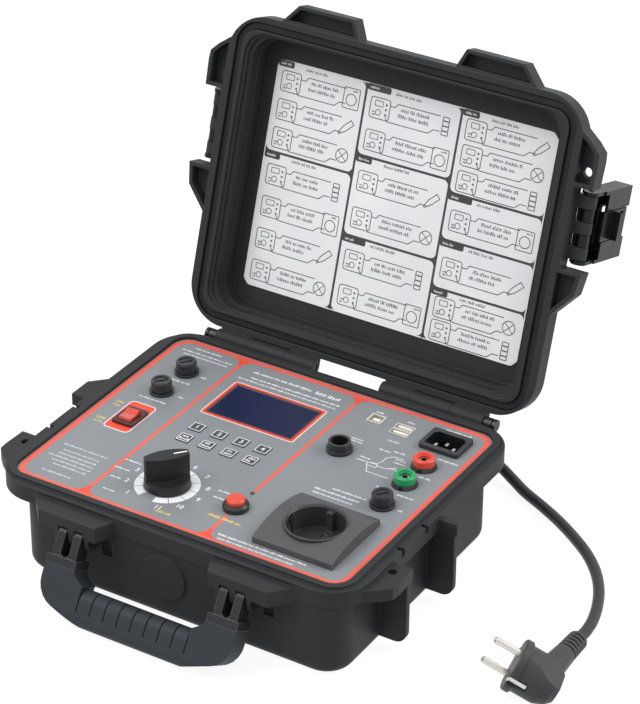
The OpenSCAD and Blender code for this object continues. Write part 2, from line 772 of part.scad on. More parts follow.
module button_collar() {
    color("#161718") on_panel(button_at) difference() {
        union() {
            disc(9.06, panel_top, panel_top + 3.4);
            translate([0, 0, panel_top + 3.4]) cylinder(r1 = 9.06, r2 = 7.8, h = 1.8);
            disc(7.8, panel_top - 18, panel_top + 1);
        }
        disc(6.75, panel_top - 12, panel_top + 6);
    }
}

module start_button() {
    color("#e0503f") on_panel(button_at) {
        disc(6.5, panel_top - 8, panel_top + 7.4);
        translate([0, 0, panel_top + 7.4]) cylinder(r1 = 6.5, r2 = 5.7, h = 0.8);
    }
}

module status_led() {
    color("#3a3f44") on_panel(led_at) {
        disc(1.45, panel_top - 6, panel_top);
        translate([0, 0, panel_top]) sphere(1.45);
    }
}

// ---------------------------------------------------------------- fuses and sockets

module fuse_holders() {
    color("#161718") for (at = fuse_at) on_panel(at) difference() {
        union() {
            disc(8.97, panel_top, panel_top + 2.2);
            disc(7.4, panel_top - 30, panel_top + 1);
        }
        disc(4.5, panel_top - 6.5, panel_top + 3);
        disc(2.65, panel_top - 27, panel_top);
    }
}

// Screw-slotted cap whose stem presses on the fuse
module fuse_cap(at) {
    top = panel_top + 10;
    color("#202123") on_panel(at) difference() {
        union() {
            disc(7.5, panel_top + 2.3, top - 1);
            disc(6.9, top - 1.5, top);
            disc(4.4, panel_top - 6, panel_top + 3);
        }
        disc(5.2, top - 0.8, top + 1);
        rotate([0, 0, 50]) block([-4.6, 4.6], [-0.8, 0.8], [top - 2.2, top + 1]);
    }
}

module fuse_cap_1() { fuse_cap(fuse_at[0]); }
module fuse_cap_2() { fuse_cap(fuse_at[1]); }
module fuse_cap_3() { fuse_cap(fuse_at[2]); }

module fuse_links() {
    color("#d8dde0") for (at = fuse_at) on_panel(at) disc(2.6, panel_top - 27, panel_top - 7);
}

module socket_body(at) {
    on_panel(at) difference() {
        union() {
            disc(7.6, panel_top + 3, panel_top + 7.5);
            translate([0, 0, panel_top + 7.5]) cylinder(r1 = 7.6, r2 = 6.9, h = 0.7);
            disc(6, panel_top - 20, panel_top + 4);
        }
        disc(4.9, panel_top + 7, panel_top + 9);
        disc(3.8, panel_top - 16, panel_top + 9);
    }
}

module socket_red() {
    color("#e2503c") socket_body(socket_at[0]);
}

module socket_green() {
    color("#1f9e5f") socket_body(socket_at[1]);
}

module socket_flanges() {
    color("#161718") for (at = socket_at) on_panel(at) difference() {
        translate([0, 0, panel_top]) cylinder(r1 = 9.36, r2 = 8.2, h = 3);
        disc(6.05, panel_top - 1, panel_top + 4);
    }
}

module socket_contacts() {
    color("#d9b45a") for (at = socket_at) on_panel(at) difference() {
        union() {
            disc(2.9, panel_top - 16, panel_top + 6);
            disc(3.8, panel_top - 16, panel_top - 13);
        }
        disc(2.05, panel_top - 12, panel_top + 7);
    }
}

module probe_connector() {
    color("#161718") on_panel(probe_at) difference() {
        union() {
            disc(9.39, panel_top, panel_top + 2.6);
            disc(7.9, panel_top + 2, panel_top + 7.8);
            disc(7.8, panel_top - 16, panel_top + 1);
        }
        disc(6, panel_top - 4, panel_top + 11);
    }
}

module probe_insert() {
    color("#2b2d30") on_panel(probe_at) {
        disc(6, panel_top - 4, panel_top - 2);
        for (a = [30:60:330])
            rotate([0, 0, a]) translate([3.4, 0, 0]) disc(0.7, panel_top - 3, panel_top + 0.6);
    }
}

module iec_inlet() {
    color("#1a1b1c") on_panel(iec_at) difference() {
        union() {
            slab(iec_w, iec_d, 2, panel_top, iec_z);
            slab(iec_w - 3.4, iec_d - 3.4, 1, panel_top - 18, panel_top + 1);
        }
        translate([0, 0, panel_top - 12]) linear_extrude(20)
            polygon([[-12.6, -8.6], [12.6, -8.6], [12.6, 5.6], [9.8, 8.6], [-9.8, 8.6], [-12.6, 5.6]]);
    }
}

module iec_pins() {
    color("#d6d8da") on_panel(iec_at) for (p = [[-7, -2], [0, 2], [7, -2]])
        block([p[0] - 1, p[0] + 1], [p[1] - 2, p[1] + 2], [panel_top - 12, panel_top - 0.6]);
}

module usb_shells() {
    color("#c9cbcc") on_panel(usb_a_at) difference() {
        slab(14.8, 14.2, 0.6, panel_top - 16, panel_top + 0.8);
        for (y = [-3.6, 3.6])
            block([-6.6, 6.6], [y - 2.7, y + 2.7], [panel_top - 14, panel_top + 2]);
    }
    color("#c9cbcc") on_panel(usb_b_at) difference() {
        slab(11.8, 10.8, 0.6, panel_top - 16, panel_top + 0.8);
        block([-4.4, 4.4], [-4, 4], [panel_top - 14, panel_top + 2]);
    }
}

module usb_tongues() {
    color("#f3f3f0") on_panel(usb_a_at) for (y = [-3.6, 3.6])
        block([-5.6, 5.6], [y - 0.1, y + 1.9], [panel_top - 14, panel_top]);
    color("#f3f3f0") on_panel(usb_b_at) block([-2.8, 2.8], [-1.6, 1.6], [panel_top - 14, panel_top - 0.2]);
}

// ---------------------------------------------------------------- mains outlet

module outlet_plate() {
    crown = outlet_top - outlet_edge;
    bow = (pow(outlet_w / 2, 2) + crown * crown) / (2 * crown);
    color("#5d5c5f") on_panel(outlet_at) difference() {
        rotate([90, 0, 90]) linear_extrude(outlet_w, center = true) intersection() {
            translate([0, outlet_top - bow]) circle(bow, $fn = 96);
            translate([-outlet_w / 2, panel_top]) square([outlet_w, 20]);
        }
        disc(outlet_body_r + 0.2, panel_top - 1, outlet_top + 1);
    }
}

module outlet_insert() {
    color("#3a3a3c") on_panel(outlet_at) difference() {
        union() {
            disc(outlet_body_r, panel_top, outlet_top);
            slab(2 * outlet_body_r + 1, 2 * outlet_body_r + 1, 4, panel_top - 16, panel_top);
        }
        disc(well_r, outlet_top - 17.5, outlet_top + 1);
        translate([0, 0, outlet_top - 1.5]) cylinder(r1 = well_r, r2 = well_r + 1.4, h = 2);
        for (y = [-9.5, 9.5])
            translate([0, y, 0]) disc(2.7, panel_top - 15, panel_top);
        // Pockets of the two earth clips
        for (x = [-1, 1])
            translate([x * (well_r + 0.6), 0, 0]) block([-1.7, 1.7], [-2.6, 2.6], [outlet_top - 17.5, outlet_top - 2]);
    }
    // Side keys that guide the plug
    color("#3a3a3c") on_panel(outlet_at) for (y = [-1, 1])
        block([-2.2, 2.2], [y * (well_r - 1.4) - 1.7, y * (well_r - 1.4) + 1.7], [outlet_top - 17.6, outlet_top - 3]);
}

module outlet_clips() {
    color("#d6d8da") on_panel(outlet_at) for (x = [-1, 1]) {
        block([x * (well_r + 1.1) - 0.5, x * (well_r + 1.1) + 0.5], [-2, 2], [outlet_top - 17.5, outlet_top - 3.5]);
        block([x * (well_r - 0.2) - 0.9, x * (well_r - 0.2) + 0.9], [-2, 2], [outlet_top - 8, outlet_top - 3.5]);
    }
}

module outlet_contacts() {
    color("#d9b45a") on_panel(outlet_at) for (y = [-9.5, 9.5])
        translate([0, y, 0]) difference() {
            disc(2.65, panel_top - 15, panel_top - 8.5);
            disc(2.1, panel_top - 13, panel_top - 8);
        }
}

// ---------------------------------------------------------------- inside the case

module circuit_board() {
    top = board_z + board_t;
    middle = [(board_x[0] + board_x[1]) / 2, (board_y[0] + board_y[1]) / 2, 0];
    color("#2d6b3f") block(board_x, board_y, [board_z, top]);
    color("#26282a") translate(middle) for (x = [-45:30:45], y = [-50, 0, 50])
        block([x - 8, x + 8], [y - 6, y + 6], [top, top + 3.4]);
}

module board_posts() {
    color("#c9a24a")
        for (x = [board_x[0] + post_in, board_x[1] - post_in], y = [board_y[0] + post_in, board_y[1] - post_in])
            translate([x, y, 0]) disc(3.5, wall, board_z);
}

module transformer() {
    half = transformer_w / 2;
    color("#7d7f82") translate([transformer_at[0], transformer_at[1], 0]) {
        block([-half, half], [4 - half, half - 4], [wall, wall + 30]);
        block([8 - half, half - 8], [-half - 6, half + 6], [wall + 5, wall + 25]);
    }
}

// ---------------------------------------------------------------- mains lead

module cable_gland() {
    color("#161718") translate(gland_at) rotate([-90, 0, 0]) {
        cylinder(r = 12, h = 5, $fn = 6);
        translate([0, 0, 5]) cylinder(r = 9.5, h = 7);
        translate([0, 0, 12]) cylinder(r1 = 9.5, r2 = 5.5, h = gland_l - 12);
        translate([0, 0, -wall - 7]) cylinder(r = gland_r, h = wall + 8);
        translate([0, 0, -wall - 6]) cylinder(r = gland_r + 4, h = 6, $fn = 6);
    }
}

// Smooth curve through four route points, at t between the middle two
function curve(p0, p1, p2, p3, t) =
    0.5 * (2 * p1 + (p2 - p0) * t + (2 * p0 - 5 * p1 + 4 * p2 - p3) * t * t
        + (3 * p1 - p0 - 3 * p2 + p3) * t * t * t);
function route_at(i) = cord_route[max(0, min(len(cord_route) - 1, i))];
function cord_path() = concat(
    [for (i = [0:len(cord_route) - 2], k = [0:cord_steps - 1])
        curve(route_at(i - 1), route_at(i), route_at(i + 1), route_at(i + 2), k / cord_steps)],
    [cord_route[len(cord_route) - 1]]
);
function heading(path, i) = unit(path[min(i + 1, len(path) - 1)] - path[max(i - 1, 0)]);
function ring(centre, ahead, r) =
    let (side = unit(cross(ahead, [0, 0, 1])), up = cross(side, ahead))
    [for (k = [0:cord_sides - 1])
        centre + r * (cos(360 * k / cord_sides) * side + sin(360 * k / cord_sides) * up)];

module mains_cord() {
    path = cord_path();
    n = len(path);
    rings = [for (i = [0:n - 1]) each ring(path[i], heading(path, i), cord_d / 2)];
    walls = [for (i = [0:n - 2], k = [0:cord_sides - 1])
        let (a = i * cord_sides + k, b = i * cord_sides + (k + 1) % cord_sides)
        [a, b, b + cord_sides, a + cord_sides]];
    first = [for (k = [cord_sides - 1:-1:0]) k];
    last = [for (k = [0:cord_sides - 1]) (n - 1) * cord_sides + k];
    color("#1b1c1e") polyhedron(points = rings, faces = concat([first], walls, [last]));
}

// Ribbed sleeve that leaves the plug sideways
module plug_relief() {
    along = neck_end - neck_root;
    length = norm(along);
    lean = atan2(-along[0], -along[1]);
    start = 19;
    color("#202224") plug_pose() translate(neck_root) rotate([0, 0, -lean]) rotate([90, 0, 0]) {
        translate([0, 0, start]) cylinder(r1 = 8.6, r2 = 7.6, h = 17);
        translate([0, 0, start + 16]) cylinder(r1 = 6.1, r2 = neck_r[1], h = length - start - 16);
        for (k = [0:4])
            translate([0, 0, start + 19 + 4.2 * k]) cylinder(r = 7.4 - 0.1 * k, h = 2.3);
        for (turn = [45:90:315])
            rotate([0, 0, turn]) block([4, 6.9], [-1, 1], [start + 16.5, length - 2]);
    }
}

module plug_body() {
    facet = plug_at[2] / cos(plug_lift);
    slope = tan(plug_lift);
    depth = 33;
    along = neck_end - neck_root;
    lean = atan2(-along[0], -along[1]);
    color("#26282a") plug_pose() {
        difference() {
            intersection() {
                rotate([0, -90, 0]) rotate_extrude() polygon([
                    [0, 0], [plug_face_r - 0.8, 0], [plug_face_r, 1], [plug_face_r, 5], [16.6, 6.5],
                    [16.6, 22], [14, 29], [10, depth], [0, depth]
                ]);
                // Upper and lower facets that narrow towards the back
                rotate([90, 0, 0]) linear_extrude(60, center = true)
                    polygon([[0, facet], [0, -facet], [-40, -facet + 40 * slope], [-40, facet - 40 * slope]]);
            }
            for (y = [-1, 1])
                block([-14, 1], [y * 17.2 - 2.2, y * 17.2 + 2.2], [-3.4, 3.4]);
            for (z = [-9.5, 9.5])
                translate([-12, 0, z]) rotate([0, 90, 0]) cylinder(r = 2.4, h = 14);
        }
        translate(neck_root) rotate([0, 0, -lean]) rotate([90, 0, 0]) translate([0, 0, 8]) cylinder(r = 8.6, h = 11);
    }
}

module plug_pins() {
    color("#c9cbcc") plug_pose() for (z = [-9.5, 9.5]) translate([0, 0, z]) {
        translate([-12, 0, 0]) rotate([0, 90, 0]) cylinder(r = 2.4, h = 30);
        translate([18, 0, 0]) rotate([0, 90, 0]) cylinder(r1 = 2.4, r2 = 1, h = 1.4);
    }
}

module plug_clips() {
    color("#c9cbcc") plug_pose() for (y = [-1, 1]) {
        block([-13, 0.4], [y * 15.42 - 0.4, y * 15.42 + 0.4], [-1.5, 1.5]);
        block([-0.4, 0.4], [y * 16.2 - 1, y * 16.2 + 1], [-1.5, 1.5]);
    }
}

base_shell();
front_panel();
lcd_window();
lcd_module();
key_1();
key_2();
key_3();
key_4();
key_5();
key_6();
key_7();
key_8();
rocker_bezel();
rocker();
selector_knob();
knob_pointer();
rotary_switch();
button_collar();
start_button();
status_led();
fuse_holders();
fuse_cap_1();
fuse_cap_2();
fuse_cap_3();
fuse_links();
socket_red();
socket_green();
socket_flanges();
socket_contacts();
probe_connector();
probe_insert();
iec_inlet();
iec_pins();
usb_shells();
usb_tongues();
outlet_plate();
outlet_insert();
outlet_clips();
outlet_contacts();
circuit_board();
board_posts();
transformer();
cable_gland();
mains_cord();
plug_relief();
plug_body();
plug_pins();
plug_clips();
hinge_pins();
handle_pins();
handle_frame();
handle_grip();
lid_shell();
lid_seal();
chart_plate();
latch_pins();
latch_lever_r();
latch_lever_l();
latch_catch_r();
latch_catch_l();
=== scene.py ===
# %% [markdown]
# # A portable appliance tester in a waterproof hard case
#
# The case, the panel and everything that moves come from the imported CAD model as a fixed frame.
# This lesson dresses that frame: it sets the camera and light, lays the mains lead, prints the
# panel and the card in the lid, and gives every surface the finish of its real material.
# All sizes are worked out in millimetres and turned into metres at the last step.

# %% Load the frame
import math

import bmesh
import bpy
import numpy as np
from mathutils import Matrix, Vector


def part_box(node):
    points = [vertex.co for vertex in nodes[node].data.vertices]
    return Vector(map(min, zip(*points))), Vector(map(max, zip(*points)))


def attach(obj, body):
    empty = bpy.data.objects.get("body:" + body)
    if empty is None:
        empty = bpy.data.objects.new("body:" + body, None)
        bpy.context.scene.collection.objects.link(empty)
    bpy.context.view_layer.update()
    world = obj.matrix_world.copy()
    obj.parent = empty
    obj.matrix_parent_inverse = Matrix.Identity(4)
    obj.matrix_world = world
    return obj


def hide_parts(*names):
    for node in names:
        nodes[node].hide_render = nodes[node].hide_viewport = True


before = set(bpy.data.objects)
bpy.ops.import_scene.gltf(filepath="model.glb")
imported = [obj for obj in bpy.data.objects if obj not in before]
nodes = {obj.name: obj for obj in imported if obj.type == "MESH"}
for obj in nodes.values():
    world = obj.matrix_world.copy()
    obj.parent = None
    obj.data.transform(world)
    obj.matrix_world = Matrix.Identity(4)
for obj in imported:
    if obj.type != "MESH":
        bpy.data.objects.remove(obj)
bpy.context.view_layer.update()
MM = 0.001  # one millimetre in Blender's metres

# %% [markdown]
# ## Camera
#
# A product picture is taken from far away with a long lens, so that parallel edges stay nearly
# parallel. The lens is given as a focal length for a 36 mm wide sensor, fitted across the frame.

# %% Place the camera
camera_data = bpy.data.cameras.new("product_camera")
camera_data.sensor_fit = "HORIZONTAL"
camera_data.sensor_width = 36.0
camera_data.lens = 164.79
camera_data.clip_start = 0.1
camera_data.clip_end = 30.0
camera = bpy.data.objects.new("product_camera", camera_data)
camera.location = (0.91502, -1.41754, 1.16145)
camera.rotation_euler = [math.radians(a) for a in (59.0577, -0.2971, 31.5602)]
bpy.context.scene.collection.objects.link(camera)
bpy.context.scene.camera = camera
bpy.context.scene.view_settings.view_transform = "Standard"

# %% [markdown]
# ## Tools for meshes
#
# Every new piece is worked out as whole arrays of points. These helpers turn a grid of points,
# a ring with a rectangular section or a prism into faces that point outwards, and gather many
# small shapes, such as the strokes of a print, into one piece.


# %% Mesh helpers
def grid_faces(rows, columns, wrap_rows=False, wrap_columns=True):
    """Quads of a grid of rows x columns points stored row by row; a wrapped direction closes on itself."""
    i, j = np.meshgrid(
        np.arange(rows if wrap_rows else rows - 1),
        np.arange(columns if wrap_columns else columns - 1),
        indexing="ij",
    )
    i2, j2 = (i + 1) % rows, (j + 1) % columns
    quads = np.stack([i * columns + j, i * columns + j2, i2 * columns + j2, i2 * columns + j], axis=-1)
    return quads.reshape(-1, 4).tolist()


class Piece:
    """Collects closed shapes, in millimetres, that become one object.

    add takes a shape's points and faces; build makes the mesh, in metres, and says which body it rides on."""

    def __init__(self, name):
        """Starts an empty piece with its final name."""
        self.name = name
        self.points = []
        self.faces = []
        self.count = 0

    def add(self, points, faces):
        """Joins one closed shape to the piece; its faces count from its own first point."""
        points = np.asarray(points, float).reshape(-1, 3)
        self.faces += [[k + self.count for k in face] for face in faces]
        self.points.append(points)
        self.count += len(points)

    def build(self, body, slot, smooth=False):
        """Makes the object, at the origin, and lets it ride on its body; slot is not used."""
        mesh = bpy.data.meshes.new(self.name)
        mesh.from_pydata((np.concatenate(self.points) * MM).tolist(), [], self.faces)
        mesh.validate()
        mesh.update()
        if smooth:
            mesh.polygons.foreach_set("use_smooth", [True] * len(mesh.polygons))
        piece = bpy.data.objects.new(self.name, mesh)
        bpy.context.scene.collection.objects.link(piece)
        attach(piece, body)
        print(self.name, len(mesh.polygons), "faces")
        return piece


def raised(outline, z):
    """Points of a flat outline lifted to the level z."""
    outline = np.asarray(outline, float)
    return np.column_stack([outline, np.full(len(outline), z)])


def add_prism(piece, outline, low, high, place=None):
    """A flat outline that runs anticlockwise, drawn up from low to high; place moves the points."""
    n = len(outline)
    points = np.concatenate([raised(outline, low), raised(outline, high)])
    faces = [list(range(n))[::-1], list(range(n, 2 * n))] + grid_faces(2, n)
    piece.add(points if place is None else place(points), faces)


def add_band(piece, inner, outer, low, high, place=None, closed=True):
    """The strip between two outlines with equally many points, drawn up from low to high."""
    n = len(inner)
    loops = [raised(outer, low), raised(outer, high), raised(inner, high), raised(inner, low)]
    faces = grid_faces(4, n, wrap_rows=True, wrap_columns=closed)
    if not closed:
        faces += [[0, n, 2 * n, 3 * n], [4 * n - 1, 3 * n - 1, 2 * n - 1, n - 1]]
    points = np.concatenate(loops)
    piece.add(points if place is None else place(points), faces)


sharpest_miter = 0.5


def offset_line(path, distance, closed=False):
    """The path moved sideways: each point goes along the mean normal n of its two segments by
    distance / (n . segment normal), so that a corner keeps the line's width; sharp corners are cut short."""
    path = np.asarray(path, float)
    if closed:
        ahead = np.roll(path, -1, axis=0) - path
        behind = path - np.roll(path, 1, axis=0)
    else:
        ahead = np.diff(path, axis=0, append=path[-1:] * 2 - path[-2:-1])
        behind = np.diff(path, axis=0, prepend=path[:1] * 2 - path[1:2])
    ahead = ahead / np.linalg.norm(ahead, axis=1, keepdims=True)
    behind = behind / np.linalg.norm(behind, axis=1, keepdims=True)
    normal = np.column_stack([-(ahead + behind)[:, 1], (ahead + behind)[:, 0]])
    normal /= np.linalg.norm(normal, axis=1, keepdims=True)
    stretch = 1.0 / np.maximum(sharpest_miter, normal[:, 1] * ahead[:, 0] - normal[:, 0] * ahead[:, 1])
    return path + normal * (distance * stretch)[:, None]


def add_stroke(piece, path, width, low, high, place=None, closed=False):
    """A line of a given width along a path."""
    left = offset_line(path, width / 2, closed)
    right = offset_line(path, -width / 2, closed)
    add_band(piece, left, right, low, high, place, closed)


def rounded_outline(centre, size, radius, steps=7):
    """Anticlockwise outline of a rectangle with rounded corners."""
    turns = np.radians(np.linspace(0, 90, steps))
    corners = []
    for k, (sx, sy) in enumerate([(1, 1), (-1, 1), (-1, -1), (1, -1)]):
        middle = np.array(centre) + [sx * (size[0] / 2 - radius), sy * (size[1] / 2 - radius)]
        angle = turns + k * math.pi / 2
        corners.append(middle + radius * np.column_stack([np.cos(angle), np.sin(angle)]))
    return np.concatenate(corners)


def arc(centre, radius, start, end, steps=24):
    """Points on a circle between two angles in degrees."""
    angle = np.radians(np.linspace(start, end, steps))
    return np.array(centre) + radius * np.column_stack([np.cos(angle), np.sin(angle)])


# %% [markdown]
# ## Mains lead
#
# The lead is an 8 mm PVC cable. It leaves the gland in the rear wall straight, sags to the floor,
# swings round the back corner and runs along the floor to its angled plug. Its line is a smooth
# curve through route points, and the jacket is a circle carried along that line.

# %% Lay the cord
plug_place = np.array([233.5, -58.3, 20.0])
plug_turn, plug_lift = math.radians(195), math.radians(25)
neck_root, neck_end = [-20, 0, 0], [-34, -57, 0]
gland_tip = np.array([56.0, 113.0, 23.0])
cord_diameter, cord_sides = 8.0, 20
steps_per_span = 8


def plug_point(point):
    """A point of the plug, lifted about its Y axis and then turned about Z, moved to where it lies."""
    x = point[0] * math.cos(plug_lift) - point[2] * math.sin(plug_lift)
    z = point[0] * math.sin(plug_lift) + point[2] * math.cos(plug_lift)
    turned = [x * math.cos(plug_turn) - point[1] * math.sin(plug_turn),
              x * math.sin(plug_turn) + point[1] * math.cos(plug_turn), z]
    return plug_place + turned


def smooth_path(route, steps):
    """Catmull-Rom curve: each span is a cubic whose end slopes are half the chord of its neighbours."""
    route = np.asarray(route, float)
    padded = np.concatenate([route[:1], route, route[-1:]])
    p0, p1, p2, p3 = padded[:-3, None], padded[1:-2, None], padded[2:-1, None], padded[3:, None]
    t = (np.arange(steps) / steps)[None, :, None]
    spans = 0.5 * (2 * p1 + (p2 - p0) * t + (2 * p0 - 5 * p1 + 4 * p2 - p3) * t**2
                   + (3 * p1 - p0 - 3 * p2 + p3) * t**3)
    return np.concatenate([spans.reshape(-1, 3), route[-1:]])


def tube(path, radius, sides):
    """Rings of points round a path: centre + radius * (cos a * side + sin a * up) at each place."""
    ahead = np.gradient(path, axis=0)
    ahead /= np.linalg.norm(ahead, axis=1, keepdims=True)
    side = np.cross(ahead, [0.0, 0.0, 1.0])
    side /= np.linalg.norm(side, axis=1, keepdims=True)
    up = np.cross(side, ahead)
    angle = np.linspace(0, 2 * math.pi, sides, endpoint=False)
    ring = np.cos(angle)[None, :, None] * side[:, None] + np.sin(angle)[None, :, None] * up[:, None]
    return path[:, None] + radius * ring


neck_tip = plug_point(neck_end)
neck_back = neck_tip - plug_point(neck_root)
neck_back /= np.linalg.norm(neck_back)
cord_route = [
    gland_tip, gland_tip + [0, 8, -0.2], [58.6, 134.8, 22.2], [66, 146.4, 20.3], [77.9, 154.5, 17.3],
    [92, 157.2, 13.7], [107, 155.4, 9.9], [121, 149.6, 6.6], [135.4, 142.2, 4.5], [152.6, 133.9, 4.1],
    [171.8, 123.3, 4.1], [190.4, 110.9, 4.1], [208, 97, 4.1], [222.5, 81.3, 4.1], [233.7, 64, 4.1],
    [241.6, 46, 4.1], [246.2, 30, 4.1],
    neck_tip + 14 * neck_back + [0, 0, 0.3], neck_tip + 7 * neck_back, neck_tip,
]
cord_line = smooth_path(cord_route, steps_per_span)
cord = Piece("mains_lead")
rings = tube(cord_line, cord_diameter / 2, cord_sides)
last_ring = (len(cord_line) - 1) * cord_sides
cord.add(rings, [face[::-1] for face in grid_faces(len(cord_line), cord_sides)]
         + [list(range(cord_sides)), list(range(last_ring, last_ring + cord_sides))[::-1]])
cord = cord.build("case_base", "cord_jacket", smooth=True)
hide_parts("mains_cord")

# %% [markdown]
# ## Light, floor and backdrop
#
# Soft studio light: a bright, even world, one large lamp high on the left that gives the dark
# plastic its broad sheen, and a weaker one behind on the right that picks out the rims. The world
# and the floor look white to the camera, in reflections and through glass, but they light the object
# only at a plain level, so that colours come out about as written. The light path tells the two apart.
# The floor's paper is mid grey under its glow, so it keeps the object's shadow and throws little light
# up at the dark walls.


# %% Shader tools
def linear(colour, alpha=1.0):
    """An sRGB hex colour as linear light: c / 12.92 below 0.04045, else ((c + 0.055) / 1.055) ** 2.4."""
    parts = [int(colour[k:k + 2], 16) / 255 for k in (1, 3, 5)]
    return [c / 12.92 if c <= 0.04045 else ((c + 0.055) / 1.055) ** 2.4 for c in parts] + [alpha]


def add(tree, kind, inputs=None, **settings):
    """Adds one node, sets its properties, and gives its inputs a value or a link."""
    made = tree.nodes.new(kind)
    for name, value in settings.items():
        setattr(made, name, value)
    for key, value in (inputs or {}).items():
        if isinstance(value, bpy.types.NodeSocket):
            tree.links.new(value, made.inputs[key])
        else:
            made.inputs[key].default_value = value
    return made


def new_material(name):
    """An empty material; returns it with its node tree."""
    material = bpy.data.materials.new(name)
    material.use_nodes = True
    material.node_tree.nodes.clear()
    return material, material.node_tree


def seen_straight(tree):
    """1 on rays from the camera, in reflections and through glass, 0 on rays that light the object."""
    rays = add(tree, "ShaderNodeLightPath")
    mirrored = add(tree, "ShaderNodeMath", {0: rays.outputs["Is Camera Ray"], 1: rays.outputs["Is Glossy Ray"]},
                   operation="MAXIMUM")
    return add(tree, "ShaderNodeMath", {0: mirrored.outputs[0], 1: rays.outputs["Is Transmission Ray"]},
               operation="MAXIMUM")


# %% Light the stage
world_light, world_white = 0.76, 1.0
floor_glow = 0.90

scene = bpy.context.scene
world = bpy.data.worlds.new("studio")
scene.world = world
world.use_nodes = True
sky = world.node_tree
sky.nodes.clear()
seen = seen_straight(sky)
lit = add(sky, "ShaderNodeBackground", {"Color": linear("#ffffff"), "Strength": world_light})
white = add(sky, "ShaderNodeBackground", {"Color": linear("#ffffff"), "Strength": world_white})
both = add(sky, "ShaderNodeMixShader", {0: seen.outputs[0], 1: lit.outputs[0], 2: white.outputs[0]})
add(sky, "ShaderNodeOutputWorld", {"Surface": both.outputs[0]})


def soft_lamp(name, place, target, size, watts):
    """A square area lamp that looks from its place to a target."""
    data = bpy.data.lights.new(name, "AREA")
    data.shape = "SQUARE"
    data.size = size
    data.energy = watts
    lamp = bpy.data.objects.new(name, data)
    lamp.location = place
    lamp.rotation_euler = (Vector(target) - Vector(place)).to_track_quat("-Z", "Y").to_euler()
    scene.collection.objects.link(lamp)


soft_lamp("key_lamp", (-0.9, -0.9, 1.9), (0.0, 0.0, 0.05), 1.2, 20.0)
soft_lamp("rim_lamp", (1.5, 0.9, 1.3), (0.0, 0.0, 0.1), 1.0, 18.0)

# %% Lay the floor
floor_reach, floor_gap = 6.0, 0.2 * MM
floor_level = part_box("base_shell")[0][2] - floor_gap
floor_mesh = bpy.data.meshes.new("studio_floor")
floor_mesh.from_pydata(
    [(x * floor_reach, y * floor_reach, floor_level) for x, y in ((-1, -1), (1, -1), (1, 1), (-1, 1))],
    [], [(0, 1, 2, 3)])
floor = bpy.data.objects.new("studio_floor", floor_mesh)
scene.collection.objects.link(floor)
floor_paint, tree = new_material("white paper floor")
seen = seen_straight(tree)
paper = add(tree, "ShaderNodeBsdfDiffuse", {"Color": linear("#787878")})
glow = add(tree, "ShaderNodeEmission", {"Color": linear("#ffffff"), "Strength": floor_glow})
bright = add(tree, "ShaderNodeAddShader", {0: paper.outputs[0], 1: glow.outputs[0]})
mixed = add(tree, "ShaderNodeMixShader", {0: seen.outputs[0], 1: paper.outputs[0], 2: bright.outputs[0]})
add(tree, "ShaderNodeOutputMaterial", {"Surface": mixed.outputs[0]})
floor_mesh.materials.append(floor_paint)

# %% [markdown]
# ## Moulded plastics and rubbers
#
# Most of the tester is injection moulded. A mould gives a plastic part its grain, the sink and
# flow give faint broad variation, and the tool's edges are broken to a small radius. One material
# builder makes that whole family: a fine grain in the bump, broad noise in colour and roughness,
# and rounded edges that shade softly, with a paler colour painted along them as a highlight.
#
# A real case grain is about 0.3 mm, too fine for a picture at one pixel per millimetre, so it is
# drawn near 1 mm. Its pits also shade each other, which takes away part of the shine: the grained
# plastics get a lower specular level than the usual 0.5 of a polished one.


# %% Moulded surfaces
# A noise node's values lie mostly between these two; map ranges stretch them to a full range.
noise_low, noise_high = 0.3, 0.7
# Cosine between the rounded and the true normal: no painted edge highlight above the first, full highlight below the
# second.
flat_face, round_edge = 0.995, 0.85
broad_size = 35.0


